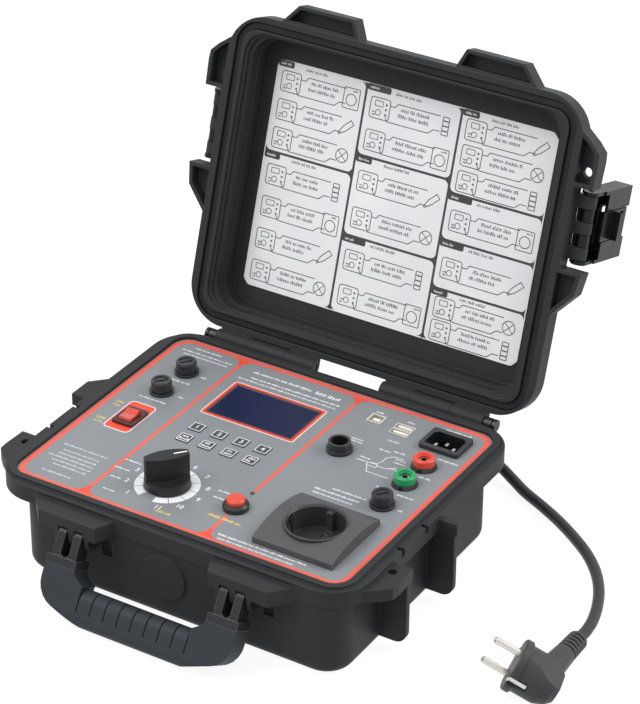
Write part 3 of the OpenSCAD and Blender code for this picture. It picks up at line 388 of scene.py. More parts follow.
def moulded(name, colour, roughness, grain=1.0, depth=0.04, edge=0.5, edge_highlight=0.25, coat=0.0, ior=1.5, mottle=0.08,
            highlight_colour="#8a8c8e", shine=0.5):
    """A moulded plastic or rubber: grain size, grain depth and edge radius in millimetres.

    Colour = base * (1 +- mottle * broad noise) * (1 +- 0.1 * grain noise), mixed towards a paler colour
    where the rounded normal leaves the true one, as a painted highlight of the rounded edge;
    roughness follows the broad noise within 0.06; height = grain noise * depth."""
    material, tree = new_material(name)
    place = add(tree, "ShaderNodeTexCoord")
    broad = add(tree, "ShaderNodeTexNoise",
                {"Vector": place.outputs["Object"], "Scale": 1 / (broad_size * MM), "Detail": 4.0, "Roughness": 0.6})
    fine = add(tree, "ShaderNodeTexNoise",
               {"Vector": place.outputs["Object"], "Scale": 1 / (grain * MM), "Detail": 2.0, "Roughness": 0.5})
    base = linear(colour)
    low = [c * (1 - mottle) for c in base[:3]] + [1.0]
    high = [min(1.0, c * (1 + mottle)) for c in base[:3]] + [1.0]
    cloudy = add(tree, "ShaderNodeMixRGB", {0: broad.outputs["Fac"], 1: low, 2: high})
    speck = add(tree, "ShaderNodeMapRange", {0: fine.outputs["Fac"], 1: noise_low, 2: noise_high, 3: 0.9, 4: 1.1})
    grained = add(tree, "ShaderNodeMixRGB", {0: 1.0, 1: cloudy.outputs[0], 2: speck.outputs[0]},
                  blend_type="MULTIPLY")
    soft = add(tree, "ShaderNodeBevel", {"Radius": edge * MM}, samples=6)
    true = add(tree, "ShaderNodeNewGeometry")
    match = add(tree, "ShaderNodeVectorMath", {0: soft.outputs[0], 1: true.outputs["Normal"]},
                operation="DOT_PRODUCT")
    # A paler colour mixed in along rounded edges: a painted highlight.
    rim = add(tree, "ShaderNodeMapRange", {0: match.outputs["Value"], 1: flat_face, 2: round_edge, 3: 0.0, 4: edge_highlight})
    surface = add(tree, "ShaderNodeMixRGB", {0: rim.outputs[0], 1: grained.outputs[0], 2: linear(highlight_colour)})
    sheen = add(tree, "ShaderNodeMapRange",
                {0: broad.outputs["Fac"], 1: noise_low, 2: noise_high, 3: roughness - 0.06, 4: roughness + 0.06})
    bump = add(tree, "ShaderNodeBump",
               {"Strength": 1.0, "Distance": depth * MM, "Height": fine.outputs["Fac"], "Normal": soft.outputs[0]})
    shader = add(tree, "ShaderNodeBsdfPrincipled",
                 {"Base Color": surface.outputs[0], "Roughness": sheen.outputs[0], "Normal": bump.outputs[0],
                  "IOR": ior, "Coat Weight": coat, "Specular IOR Level": shine})
    add(tree, "ShaderNodeOutputMaterial", {"Surface": shader.outputs[0]})
    return material


def dress(material, *names):
    """Puts one material in every slot of the named CAD nodes."""
    for name in names:
        slots = nodes[name].data.materials
        if not len(slots):
            slots.append(material)
        for k in range(len(slots)):
            slots[k] = material
    print(material.name, "on", ", ".join(names))


# %% Case, latches and handle
# On every moulded part below, the paler colour along rounded edges is a painted highlight.
dress(moulded("moulded polypropylene case", "#333436", 0.52, grain=0.9, depth=0.10, edge=0.9, edge_highlight=0.16,
              mottle=0.10, highlight_colour="#7b7d80", shine=0.18), "base_shell", "lid_shell")
dress(moulded("glossy nylon latch", "#101112", 0.36, grain=1.4, depth=0.03, edge=0.6, edge_highlight=0.08,
              highlight_colour="#4c4e51", shine=0.25), "latch_lever_r", "latch_lever_l", "latch_catch_r", "latch_catch_l")
dress(moulded("moulded nylon handle frame", "#25272a", 0.40, grain=1.0, depth=0.05, edge=0.7, edge_highlight=0.35,
              highlight_colour="#a6a9ac", shine=0.35), "handle_frame")
dress(moulded("soft rubber grip", "#30353b", 0.58, grain=0.8, depth=0.07, edge=0.8, edge_highlight=0.12, mottle=0.12,
              highlight_colour="#6d747b", shine=0.3), "handle_grip")
dress(moulded("foam rubber seal", "#17181a", 0.8, grain=1.0, depth=0.15, edge=0.3, edge_highlight=0.05), "lid_seal")

# %% Fittings of the panel
dress(moulded("glossy phenolic fitting", "#1d1e20", 0.30, grain=1.2, depth=0.02, edge=0.4, edge_highlight=0.22, ior=1.6),
      "fuse_holders", "fuse_cap_1", "fuse_cap_2", "fuse_cap_3", "socket_flanges", "button_collar",
      "probe_connector", "iec_inlet", "cable_gland")
dress(moulded("satin black knob", "#202124", 0.42, grain=1.0, depth=0.04, edge=0.5, edge_highlight=0.16, shine=0.35),
      "selector_knob", "rotary_switch")
dress(moulded("black contact carrier", "#141517", 0.45, grain=1.0, depth=0.03, edge=0.3, edge_highlight=0.1), "probe_insert")
dress(moulded("grey polycarbonate outlet", "#4c4b4e", 0.40, grain=1.1, depth=0.04, edge=0.5, edge_highlight=0.30, mottle=0.05,
              highlight_colour="#a9aaac"), "outlet_plate")
# The well is coloured darker than the outlet plate as painted shade inside it; its pale rim is a painted highlight.
dress(moulded("outlet well with painted shade", "#38373a", 0.38, grain=1.1, depth=0.03, edge=0.4, edge_highlight=0.45,
              highlight_colour="#b4b5b7"), "outlet_insert")
dress(moulded("silicone rubber keys", "#46494d", 0.55, grain=0.9, depth=0.05, edge=0.6, edge_highlight=0.15),
      *["key_%d" % n for n in range(1, 9)])
dress(moulded("red switch frame", "#3f110e", 0.30, grain=1.2, depth=0.02, edge=0.4, edge_highlight=0.12, highlight_colour="#8a3a30"),
      "rocker_bezel")
dress(moulded("clear red polycarbonate rocker", "#d23a28", 0.16, grain=2.0, depth=0.01, edge=0.5, edge_highlight=0.30,
              coat=0.6, ior=1.585, highlight_colour="#ff9c88"), "rocker")
dress(moulded("satin red button", "#e2513f", 0.35, grain=1.0, depth=0.02, edge=0.6, edge_highlight=0.18, highlight_colour="#f3a090"),
      "start_button")
dress(moulded("red polyamide socket", "#e24a36", 0.30, grain=1.0, depth=0.02, edge=0.5, edge_highlight=0.25, highlight_colour="#f7a493"),
      "socket_red")
dress(moulded("green polyamide socket", "#1d9c5c", 0.30, grain=1.0, depth=0.02, edge=0.5, edge_highlight=0.25, highlight_colour="#7fd3a8"),
      "socket_green")
dress(moulded("white pointer insert", "#f0f0ec", 0.45, edge=0.1, edge_highlight=0.0), "knob_pointer")
dress(moulded("white contact tongue", "#f4f1e8", 0.40, edge=0.2, edge_highlight=0.0), "usb_tongues")
dress(moulded("smoked lamp lens", "#4a2f2c", 0.12, grain=2.0, depth=0.0, edge=0.3, edge_highlight=0.2, coat=0.5), "status_led")

# %% Plug and cord
dress(moulded("soft PVC plug", "#3a3b3d", 0.45, grain=1.0, depth=0.05, edge=0.8, edge_highlight=0.22, mottle=0.12,
              highlight_colour="#7b7d80", shine=0.35), "plug_relief", "plug_body")
cord_jacket = moulded("extruded PVC jacket", "#303133", 0.42, grain=1.2, depth=0.03, edge=0.2, edge_highlight=0.0, mottle=0.14,
                      shine=0.35)
cord.data.materials.append(cord_jacket)

# %% [markdown]
# ## Metals
#
# Nickel plating on brass is what plugs and sockets carry: pale, a little warm, with fine draw marks
# along each pin. Steel pins are dull and grey. A metal is all reflection, so the small differences
# are in its roughness: streaks from drawing, drawn near 0.6 mm so that they show.


# %% Metal surfaces
metal_dulling = 0.82


def drawn_metal(name, colour, roughness, streak=(0.6, 0.6, 9.0)):
    """A drawn or rolled metal: streaks longer along one axis, in millimetres, vary colour and roughness."""
    material, tree = new_material(name)
    place = add(tree, "ShaderNodeTexCoord")
    stretched = add(tree, "ShaderNodeMapping",
                    {"Vector": place.outputs["Object"], "Scale": [1 / (s * MM) for s in streak]})
    streaks = add(tree, "ShaderNodeTexNoise",
                  {"Vector": stretched.outputs[0], "Scale": 1.0, "Detail": 3.0, "Roughness": 0.6})
    base = linear(colour)
    dull = [c * metal_dulling for c in base[:3]] + [1.0]
    tint = add(tree, "ShaderNodeMixRGB", {0: streaks.outputs["Fac"], 1: dull, 2: base})
    rough = add(tree, "ShaderNodeMapRange",
                {0: streaks.outputs["Fac"], 1: noise_low, 2: noise_high, 3: roughness * 0.7, 4: roughness * 1.4})
    bump = add(tree, "ShaderNodeBump", {"Strength": 0.4, "Distance": 0.02 * MM, "Height": streaks.outputs["Fac"]})
    shader = add(tree, "ShaderNodeBsdfPrincipled",
                 {"Base Color": tint.outputs[0], "Metallic": 1.0, "Roughness": rough.outputs[0],
                  "Normal": bump.outputs[0]})
    add(tree, "ShaderNodeOutputMaterial", {"Surface": shader.outputs[0]})
    return material


dress(drawn_metal("nickel plated brass", "#d9d6cf", 0.22), "plug_pins", "plug_clips", "iec_pins", "outlet_clips",
      "outlet_contacts", "socket_contacts")
dress(drawn_metal("tin plated steel shell", "#f6f4ee", 0.45, streak=(6.0, 0.6, 0.6)), "usb_shells")
dress(drawn_metal("blackened steel pin", "#4a4b4e", 0.42, streak=(9.0, 0.6, 0.6)), "hinge_pins", "handle_pins",
      "latch_pins")
dress(drawn_metal("brass post", "#c8a558", 0.30), "board_posts")
dress(drawn_metal("laminated iron core", "#7f8185", 0.45, streak=(9.0, 9.0, 0.6)), "transformer")


# %% [markdown]
# ## Panel sheet, window, card and board
#
# The panel is an aluminium sheet, sprayed mid grey and screen printed. Sprayed paint has a faint
# orange peel and tiny flakes. The window is acrylic with a satin face and a blue display close
# behind it, so it is a deep blue with little shine. The card in the lid is laminated, so it is
# smooth, a little cool, and wavy. The board inside is green solder mask over copper tracks.


# %% Sheet and print surfaces
sheet_cloud = 60.0


def coated(name, colours, roughness, scale, depth, coat=0.0, pattern="noise", contrast=(0.35, 0.65), shine=0.5):
    """A coated sheet: two colours mixed by a pattern of the given size in millimetres, and the same pattern
    times depth as height; broad noise varies the tint and the roughness by 0.04 each way."""
    material, tree = new_material(name)
    place = add(tree, "ShaderNodeTexCoord")
    if pattern == "cells":
        shape = add(tree, "ShaderNodeTexVoronoi", {"Vector": place.outputs["Object"], "Scale": 1 / (scale * MM)},
                    distance="CHEBYCHEV")
        height = shape.outputs["Distance"]
    else:
        shape = add(tree, "ShaderNodeTexNoise",
                    {"Vector": place.outputs["Object"], "Scale": 1 / (scale * MM), "Detail": 3.0, "Roughness": 0.55})
        height = shape.outputs["Fac"]
    broad = add(tree, "ShaderNodeTexNoise",
                {"Vector": place.outputs["Object"], "Scale": 1 / (sheet_cloud * MM), "Detail": 2.0})
    spread = add(tree, "ShaderNodeMapRange", {0: height, 1: contrast[0], 2: contrast[1], 3: 0.0, 4: 1.0})
    tint = add(tree, "ShaderNodeMixRGB", {0: spread.outputs[0], 1: linear(colours[0]), 2: linear(colours[1])})
    shade = add(tree, "ShaderNodeMapRange",
                {0: broad.outputs["Fac"], 1: noise_low, 2: noise_high, 3: 0.96, 4: 1.04})
    uneven = add(tree, "ShaderNodeMixRGB", {0: 1.0, 1: tint.outputs[0], 2: shade.outputs[0]}, blend_type="MULTIPLY")
    rough = add(tree, "ShaderNodeMapRange",
                {0: broad.outputs["Fac"], 1: noise_low, 2: noise_high, 3: roughness - 0.04, 4: roughness + 0.04})
    bump = add(tree, "ShaderNodeBump", {"Strength": 1.0, "Distance": depth * MM, "Height": height})
    shader = add(tree, "ShaderNodeBsdfPrincipled",
                 {"Base Color": uneven.outputs[0], "Roughness": rough.outputs[0], "Normal": bump.outputs[0],
                  "Specular IOR Level": shine, "Coat Weight": coat, "Coat Roughness": 0.08})
    add(tree, "ShaderNodeOutputMaterial", {"Surface": shader.outputs[0]})
    return material


# %% Sheets and inks
dress(coated("sprayed grey panel sheet", ("#7f8387", "#8c9094"), 0.48, 1.0, 0.02), "front_panel")
dress(coated("satin window over blue display", ("#0e1636", "#162148"), 0.42, 1.6, 0.004, pattern="cells",
             contrast=(0.1, 0.6), shine=0.2), "lcd_window")
dress(coated("laminated instruction card", ("#f6f8fc", "#fbfcfe"), 0.40, 25.0, 0.1, coat=0.2), "chart_plate")
dress(coated("solder mask over copper", ("#1f5a33", "#2f7a45"), 0.35, 3.0, 0.05, coat=0.3, pattern="cells"),
      "circuit_board", "lcd_module")
dress(coated("fuse glass and wire", ("#c5cdd0", "#e8eef0"), 0.15, 2.0, 0.0, coat=1.0), "fuse_links")
ink_red = coated("red screen ink", ("#e0604f", "#e8685a"), 0.42, 0.9, 0.01)
ink_signal = coated("orange red screen ink", ("#e5482f", "#ec5238"), 0.42, 0.9, 0.01)
ink_white = coated("white screen ink", ("#e4e6e8", "#f6f7f8"), 0.45, 0.9, 0.01)
ink_soft = coated("thin white screen ink", ("#c3c6c9", "#dcdee0"), 0.45, 0.9, 0.01)
ink_yellow = coated("yellow screen ink", ("#d8c25c", "#e6d273"), 0.45, 0.9, 0.01)
ink_black = coated("black offset ink", ("#1c1d22", "#33353c"), 0.38, 1.2, 0.0, coat=0.4)
ink_grey = coated("grey offset ink", ("#63666e", "#858992"), 0.38, 1.2, 0.0, coat=0.4)


# %% [markdown]
# ## The panel print
#
# Screen ink lies on the sheet as a film with a clean edge. It is drawn here as very thin closed
# shapes whose lower half is inside the sheet: a border, two dividing lines that flare where they
# meet it, a frame round the display, a scale round the selector, and small ticks in place of words.
# Real ink is 0.01 mm thick; these stand 0.06 mm proud so that they never flicker.


# %% Print helpers
panel_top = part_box("front_panel")[1][2] / MM
ink_sunk, ink_proud = 0.05, 0.06
ink_low, ink_high = panel_top - ink_sunk, panel_top + ink_proud
ink_lap = 0.01  # how far a second print stands above or below the first where they cross
words = np.random.default_rng(11)


def add_ticks(piece, start, end, level, height, low, high, place=None):
    """A line of ticks in place of small type: words of three to eight upright ticks of random width and height,
    some joined to the next by a short crossbar."""
    left, foot, space = start, level - height / 2, height * 0.24
    while left < end - height:
        for _ in range(words.integers(3, 9)):
            width, tall = height * words.uniform(0.24, 0.46), height * words.choice([0.75, 0.8, 1.0, 1.15])
            boxes = [(left, foot, width, tall)]
            if words.random() < 0.55:
                boxes.append((left + width, foot + tall * words.choice([0.0, 0.4, 0.8]), space, tall * 0.2))
            for x, y, w, h in boxes:
                add_prism(piece, np.array([(x, y), (x + w, y), (x + w, y + h), (x, y + h)]), low, high, place)
            left += width + space
            if left > end:
                break
        left += height * 0.5


size_of_capital, bolder = 1.38, 0.018  # font size and added weight, as shares of a capital's height


def add_mark(piece, text, centre, height, low, high, place=None, turn=0.0):
    """A numeral or ON / OFF as a thin solid: the font outline made a mesh, merged, turned and placed."""
    curve = bpy.data.curves.new("mark", "FONT")
    curve.body = text
    curve.size = height * size_of_capital
    curve.align_x, curve.align_y = "CENTER", "CENTER"
    curve.extrude = (high - low) / 2
    curve.resolution_u = 4
    curve.offset = height * bolder
    holder = bpy.data.objects.new("mark", curve)
    mesh = bpy.data.meshes.new_from_object(holder)
    shape = bmesh.new()
    shape.from_mesh(mesh)
    bmesh.ops.remove_doubles(shape, verts=shape.verts, dist=1e-4)
    bmesh.ops.recalc_face_normals(shape, faces=shape.faces)
    points = np.array([v.co[:] for v in shape.verts])
    faces = [[v.index for v in f.verts] for f in shape.faces]
    shape.free()
    bpy.data.objects.remove(holder)
    bpy.data.curves.remove(curve)
    bpy.data.meshes.remove(mesh)
    c, s = math.cos(math.radians(turn)), math.sin(math.radians(turn))
    points = np.column_stack([centre[0] + c * points[:, 0] - s * points[:, 1],
                              centre[1] + s * points[:, 0] + c * points[:, 1],
                              points[:, 2] + (low + high) / 2])
    piece.add(points if place is None else place(points), faces)


# %% Red lines of the panel
border_size, border_radius, border_width = np.array([261.8, 209.4]), 13.0, 4.3
inner_y = border_size[1] / 2 - border_width
divider_width, divider_lap, divider_corner = 2.8, 0.4, 0.2
left_line, right_line = -74.0, 23.5
button_gap = (-73.5, -39.0)  # the right line stops for the test button
border = Piece("panel_border")
add_band(border, rounded_outline((0, 0), border_size - 2 * border_width, border_radius - border_width, 12),
         rounded_outline((0, 0), border_size, border_radius, 12), ink_low, ink_high)
for x, low_y, high_y in ((left_line, -inner_y, inner_y), (right_line, -inner_y, button_gap[0]),
                         (right_line, button_gap[1], inner_y)):
    size = (divider_width, high_y - low_y + divider_lap)
    middle = (x, (low_y + high_y) / 2)
    add_prism(border, rounded_outline(middle, size, divider_corner, 2), ink_low, ink_high - ink_lap)
border = border.build("case_base", "panel_print")
border.data.materials.append(ink_red)

# %% Flares where the lines meet the border
# Half width = half the line + flare_width * s**2, height = flare_height * (1 - s)**1.5, for s from 0 to 1.
flare_width, flare_height = 8.0, 9.0
sweep = np.linspace(0, 1, 7)
across = divider_width / 2 + flare_width * sweep**2
down = inner_y + divider_lap / 2 - flare_height * (1 - sweep) ** 1.5
flares = Piece("panel_flares")
for x in (left_line, right_line):
    for side in (1, -1):
        outline = np.concatenate([np.column_stack([x + across, side * down]),
                                  np.column_stack([x - across[::-1], side * down[::-1]])])
        add_prism(flares, outline[::side], ink_low, ink_high + ink_lap)
flares = flares.build("case_base", "panel_print")
flares.data.materials.append(ink_signal)

# %% Frames round the display and the switch
def flat_box(name):
    """Middle and size, in millimetres, of a CAD node seen from above."""
    low, high = (np.array(corner[:2]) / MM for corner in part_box(name))
    return (low + high) / 2, high - low


window_middle, window_size = flat_box("lcd_window")
window_corner, frame_corner = 1.4, 2.0
shade_size, frame_size = window_size + 2.6, window_size + 7.0
switch_middle, switch_size, switch_corner = np.array([-101.5, -6.0]), np.array([20.0, 37.0]), 3.0

# A dark red band inside the display frame: painted shade of the recess wall round the window, which also makes the
# dark window look wider.
shade = Piece("window_painted_shade")
add_band(shade, rounded_outline(window_middle, window_size + 0.4, window_corner - 0.2),
         rounded_outline(window_middle, shade_size + 0.2, window_corner), ink_low, ink_high - ink_lap)
shade = shade.build("case_base", "panel_print")
shade.data.materials.append(coated("dark red ink as painted recess shade", ("#3a1a26", "#4a1f2a"), 0.45, 0.9, 0.01))

frames = Piece("display_frame")
add_band(frames, rounded_outline(window_middle, shade_size, window_corner),
         rounded_outline(window_middle, frame_size, frame_corner), ink_low, ink_high)
add_prism(frames, rounded_outline(switch_middle, switch_size, switch_corner), ink_low, ink_high)
frames = frames.build("case_base", "panel_print")
frames.data.materials.append(ink_signal)

# %% White lines round the frames
outlines = Piece("white_outlines")
for middle, size, radius, width in ((window_middle, frame_size, frame_corner, 0.7),
                                    (switch_middle, switch_size, switch_corner, 0.8)):
    add_band(outlines, rounded_outline(middle, size, radius),
             rounded_outline(middle, size + 2 * width, radius + width), ink_low, ink_high + ink_lap)
outlines = outlines.build("case_base", "panel_print")
outlines.data.materials.append(ink_white)

# %% [markdown]
# ## Scale of the selector
#
# Round the selector lies a ring of eleven white fields, 30 degrees apart, with a gap at the lower
# left. Each field has a plain number beside it, and the outer ones a row of ticks for their word.

# %% Print the scale
dial_middle, _ = flat_box("selector_knob")
dial_inner, dial_outer, number_radius, number_height = 16.6, 22.6, 28.0, 4.2
field_count, field_turn, field_gap, dial_start = 11, 30.0, 1.6, -114.0
scale_ring = Piece("selector_scale")
numbers = Piece("selector_numbers")
for n in range(field_count):
    start = dial_start - n * field_turn
    stop = start - field_turn
    inner, outer = (arc(dial_middle, radius, stop + field_gap / 2, start - field_gap / 2, 9)
                    for radius in (dial_inner, dial_outer))
    add_band(scale_ring, inner, outer, ink_low, ink_high, closed=False)
    angle = math.radians((start + stop) / 2)
    spot = dial_middle + number_radius * np.array([math.cos(angle), math.sin(angle)])
    add_mark(numbers, str(n + 1), spot, number_height, ink_low, ink_high)
scale_ring = scale_ring.build("case_base", "panel_print")
scale_ring.data.materials.append(ink_white)
# Rows of ticks: start and end along X, and level along Y
for start, end, level in ((-73, -60, -52), (-74, -62, -63), (-70, -60, -74), (-66, -54, -89), (2, 11, -50.5),
                          (3, 13, -58.5)):
    add_ticks(numbers, start, end, level, 1.5, ink_low, ink_high)
numbers = numbers.build("case_base", "panel_print")
numbers.data.materials.append(ink_white)

# %% [markdown]
# ## Small print
#
# The tester's labels are lines of small white type beside its fittings. They are left without words:
# each line is a row of upright ticks as high as the type's letters, grouped as letters are in words.

# %% Print the small type
small = Piece("white_small_print")
# Each line: start and end along X, level along Y, and height of the type
type_lines = [
    (-114, -90, 96.2, 1.6), (-122, -79, 90.5, 1.3), (-118, -79, 86.2, 1.3),
    (-108, -88, 51.6, 1.5), (-88.5, -84, 64.4, 1.6), (-112, -90, 21.2, 1.5), (-87, -83.6, 33.8, 1.6),
    (-60, -12, 90.6, 2.2), (-8, 16, 90.2, 3.2), (-57.5, 16.5, 83.2, 1.7), (-66, 17.5, 78.8, 1.4),
    (30, 98, -94.0, 1.7), (32, 90, -98.2, 1.3),
    (44, 55, 53.5, 1.4), (44, 54, 50.6, 1.4), (41.8, 49, 91.4, 1.5), (66.8, 75, 91.2, 1.5), (67, 75, 64, 1.5),
    (95, 116, 96.8, 1.4), (108.5, 123.5, 61.0, 1.4), (108, 119, 35.2, 1.4), (106.4, 118.5, 8.4, 1.4),
    (89.2, 93.8, 9.8, 1.5), (116.6, 119.8, -7.8, 1.6),
    (68, 76, 50.8, 1.4), (78, 88, 53.4, 1.4), (60.5, 70, 32.4, 1.4), (84.4, 93.4, 41.6, 1.4), (84, 92, 45.4, 1.4),
    (61, 69, 36.2, 1.4), (85, 92, 33.4, 1.4),
    (66, 92, -8.2, 1.5), (55, 89, -13.4, 1.5), (56, 86.5, -18.0, 1.3),
]
for start, end, level, height in type_lines:
    add_ticks(small, start, end, level, height, ink_low, ink_high)
small = small.build("case_base", "panel_print")
small.data.materials.append(ink_white)

block = Piece("thin_small_print")
for start, end, level in ((-120, -83.5, -58.3), (-116, -86.3, -64.6), (-116.4, -85.6, -69.2), (-122, -83, -73.6),
                          (-116, -84, -78.0), (-112, -84, -82.4), (-114.5, -91, -91.8)):
    add_ticks(block, start, end, level, 1.5, ink_low, ink_high)
block = block.build("case_base", "panel_print")
block.data.materials.append(ink_soft)

yellow = Piece("yellow_print")
add_mark(yellow, "ON", (-118.6, 6.6), 3.0, ink_low, ink_high)
add_mark(yellow, "OFF", (-118.2, -17.6), 3.0, ink_low, ink_high)
add_ticks(yellow, -121.5, -114.5, 2.2, 1.4, ink_low, ink_high)
add_ticks(yellow, -121.5, -114.5, -22.0, 1.4, ink_low, ink_high)
add_ticks(yellow, -20.5, -8.5, -92.6, 2.2, ink_low, ink_high)
add_ticks(yellow, 11.5, 37.0, -77.9, 2.4, ink_low, ink_high)
yellow = yellow.build("case_base", "panel_print")
yellow.data.materials.append(ink_yellow)

# %% [markdown]
# ## Sketch beside the sockets
#
# A thin white line drawing links the two test sockets: a lead with a resistor on one side and a
# return on the other.

# %% Draw the socket sketch
sketch = Piece("socket_sketch")
for line in ([(89, 47.5), (82, 47.5), (77.5, 43.6), (77.5, 38), (75.5, 33.5), (71, 33.5)],
             [(71, 28.5), (74, 22.0), (91.5, 22.0)],
             [(77.5, 31.5), (84, 31.5), (90, 36)]):
    add_stroke(sketch, line, 0.55, ink_low, ink_high)
add_band(sketch, rounded_outline((73.5, 31), (7.0, 3.0), 0.2, 2), rounded_outline((73.5, 31), (8.0, 4.0), 0.4, 2),
         ink_low, ink_high)
sketch = sketch.build("case_base", "panel_print")
sketch.data.materials.append(ink_white)

# %% [markdown]
# ## Marks on the keys and the switch
#
# Each key's mark moves with the key, so each is a piece of its own that rides on its key: a white
# outline, with plain digits on the upper row and two rows of ticks on the lower row.

# %% Mark the keys
key_mark_half = 0.05
key_outer_inset, key_inner_inset = 3.5, 4.7
for n in range(1, 9):
    key = "key_%d" % n
    middle, size = flat_box(key)
    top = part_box(key)[1][2] / MM
    low, high = top - key_mark_half, top + key_mark_half
    mark = Piece("key_mark_%d" % n)
    add_band(mark, rounded_outline(middle, size - key_inner_inset, 0.6),
             rounded_outline(middle, size - key_outer_inset, 1.0), low, high)
    if n <= 4:
        add_mark(mark, str(n), middle, 4.2, low, high)
    else:
        for level, width in ((1.7, 5.0), (-1.7, 7.0)):
            add_ticks(mark, middle[0] - width / 2, middle[0] + width / 2, middle[1] + level, 2.0, low, high)
    mark = mark.build(key, "key_rubber")
    mark.data.materials.append(ink_white)

# %% [markdown]
# ## Instruction card in the lid
#
# The card shows how leads are plugged in. It has three columns of pale fields with rounded corners
# on dark ink, a black tab at the head of each field, and line drawings in them: a meter box on the
# left, leads, and a load on the right. The drawings here are generic circuit symbols.

# %% Place things on the card
card_face, card_middle = 94.3, 0.8
lid_angle, hinge_y, hinge_z = math.radians(-107.4), 122.1, 66.1
card_low, card_high = -ink_sunk, ink_proud


def on_card(points):
    """Card place (right, up, out) to the closed lid (x, card_middle - up, card_face - out), then turned by the
    lid's angle about the hinge."""
    y, z = card_middle - points[:, 1] - hinge_y, card_face - points[:, 2] - hinge_z
    c, s = math.cos(lid_angle), math.sin(lid_angle)
    return np.column_stack([points[:, 0], hinge_y + y * c - z * s, hinge_z + y * s + z * c])


card_height = 170.0
gap, corner = 1.8, 4.0
column_edges = [-114.3, -39.5, 38.0, 114.3]
field_rows = [[0.0, 0.40, 1.0], [0.0, 0.31, 0.66, 1.0], [0.0, 0.36, 0.56, 0.77, 1.0]]  # shares of the height
fields = []
for column, splits in enumerate(field_rows):
    for top_part, low_part in zip(splits[:-1], splits[1:]):
        left, right = column_edges[column], column_edges[column + 1]
        top, low = card_height / 2 - top_part * card_height, card_height / 2 - low_part * card_height
        fields.append((left, right, low, top))
print("card fields", len(fields))

# %% Black gaps and tabs of the card
short_tab, long_tab, tab_height = 13.0, 19.0, 4.8
gaps = Piece("card_gaps")
for x in column_edges[1:3]:
    add_prism(gaps, rounded_outline((x, 0), (gap, card_height - 1), 0.3, 2), card_low, card_high, on_card)
for left, right, low, top in fields:
    if low > -card_height / 2 + 1:
        add_prism(gaps, rounded_outline(((left + right) / 2, low), (right - left - gap, gap), 0.3, 2),
                  card_low, card_high, on_card)
    tab_width = long_tab if (left + top) % 2 > 1 else short_tab  # long ones on about half of the fields
    add_prism(gaps, rounded_outline((left + gap / 2 + tab_width / 2, top - 2.6), (tab_width, tab_height), 1.2, 4),
              card_low, card_high + ink_lap, on_card)
    # The four corners between a field's rounded edge and the gaps
    for sx, sy in ((1, 1), (-1, 1), (-1, -1), (1, -1)):
        tip = np.array([(right if sx > 0 else left) - sx * gap / 2, (top if sy > 0 else low) - sy * gap / 2])
        bow = tip + [sx, sy] * (arc((0, 0), corner, 0, 90, 7) - corner)
        outline = np.concatenate([bow, [tip]])
        add_prism(gaps, outline[::-1] if sx * sy > 0 else outline, card_low, card_high - ink_lap / 2, on_card)
gaps = gaps.build("lid", "chart_card")
gaps.data.materials.append(ink_black)

# %% Line drawings of the card
drawings = Piece("card_drawings")
shades = Piece("card_grey_print")
line_width, thin_line = 0.6, 0.5


def draw(path, closed=False, width=line_width):
    """One stroke on the card."""
    add_stroke(drawings, path, width, card_low, card_high, on_card, closed)


def draw_meter(left, middle):
    """A meter box: rounded case, window, knob and a column of sockets."""
    draw(rounded_outline((left + 8, middle), (16, 15), 2, 4), closed=True)
    draw(rounded_outline((left + 7, middle + 3.4), (6.5, 3.8), 0.3, 2), closed=True, width=thin_line)
    draw(arc((left + 7, middle - 3), 2.1, 0, 342, 12), closed=True, width=thin_line)
    for k in (-1, 0, 1):
        add_prism(drawings, arc((left + 13, middle + 3.6 * k), 0.8, 0, 315, 8), card_low, card_high, on_card)
    add_ticks(drawings, left + 2, left + 5, middle - 3, 1.1, card_low, card_high, on_card)
    add_ticks(drawings, left + 2, left + 5, middle - 5, 1.1, card_low, card_high, on_card)


def draw_lamp(x, y, radius=5.0):
    """A load as a ring with a cross."""
    draw(arc((x, y), radius, 0, 345, 24), closed=True)
    reach = radius * math.sqrt(0.5)
    for side in (1, -1):
        draw([(x - reach, y - side * reach), (x + reach, y + side * reach)], width=thin_line)


def draw_machine(x, y):
    """An appliance: a square case with a round opening and a switch."""
    draw(rounded_outline((x, y), (13, 15), 0.8, 3), closed=True)
    draw(arc((x, y - 1), 4.2, 0, 345, 20), closed=True)
    add_ticks(drawings, x + 0.5, x + 5, y + 5.6, 1.1, card_low, card_high, on_card)


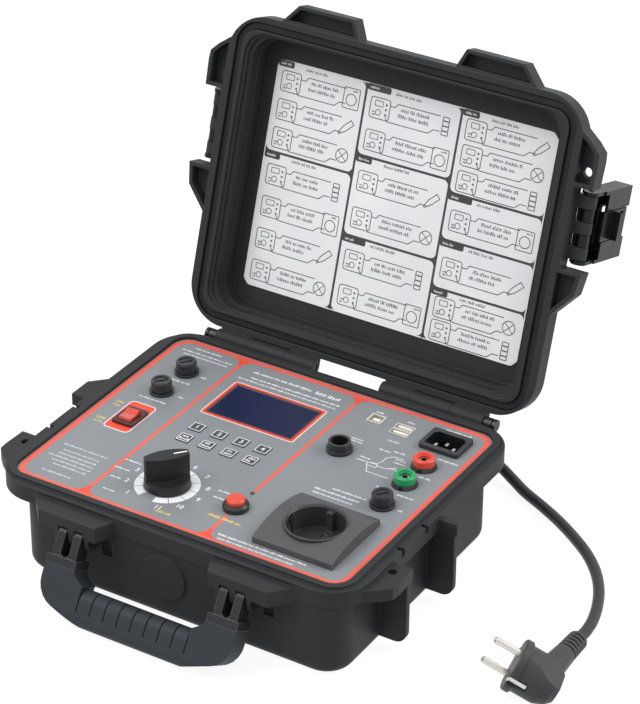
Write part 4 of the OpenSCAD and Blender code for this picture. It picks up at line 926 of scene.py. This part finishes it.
def draw_resistor(x, y):
    """A load as a long box with its two ends."""
    draw(rounded_outline((x, y), (5, 13), 0.3, 2), closed=True)
    for k in (-1, 0, 1):
        add_prism(drawings, rounded_outline((x, y + 3.6 * k), (4.2, 0.9), 0.2, 2), card_low, card_high, on_card)


def draw_probe(x, y):
    """A hand probe: a slim slanting body with a tip."""
    along, across = np.array([0.72, 0.69]), np.array([-0.69, 0.72])
    corners = [(-8, -0.6), (-2, -2), (6, -2), (6, 2), (-2, 2), (-8, 0.6)]
    draw([np.array([x, y]) + a * along + b * across for a, b in corners], closed=True)


# %% Fill the fields of the card
loads = [draw_machine, draw_probe, draw_lamp, draw_resistor]
row_height, head_height = 24.0, 5.0
count = 0
for left, right, low, top in fields:
    rows = max(1, round((top - low) / row_height))
    step = (top - low - head_height) / rows
    for row in range(rows):
        middle = top - head_height - (row + 0.5) * step + 0.5
        start, end = left + 5, right - 14
        draw_meter(start, middle)
        draw([(start + 16, middle + 3.6), (start + 20, middle + 3.6), (start + 22, middle + 6.4),
              (end - 2, middle + 6.4)])
        draw([(start + 13, middle - 4), (start + 15, middle - 8), (end - 10, middle - 8), (end - 6, middle - 4.5),
              (end - 1, middle - 4.5)])
        loads[count % len(loads)](end + 3, middle)
        add_ticks(shades, start + 25, end - 9, middle + 2.8, 2.2, card_low, card_high, on_card)
        add_ticks(shades, start + 23, end - 11, middle - 1.8, 2.2, card_low, card_high, on_card)
        count += 1
for left, right, low, top in fields:
    add_ticks(shades, left + 24, left + 44, top - 3.4, 1.8, card_low, card_high, on_card)
print("card drawings", count)
drawings = drawings.build("lid", "chart_card")
drawings.data.materials.append(ink_black)
shades = shades.build("lid", "chart_card")
shades.data.materials.append(ink_grey)

# %% Light type in the black tabs
tab_print = Piece("card_tab_print")
for left, right, low, top in fields:
    add_ticks(tab_print, left + 3, left + 11.5, top - 2.7, 1.5, card_high, card_high + 0.04, on_card)
tab_print = tab_print.build("lid", "chart_card")
tab_print.data.materials.append(ink_white)
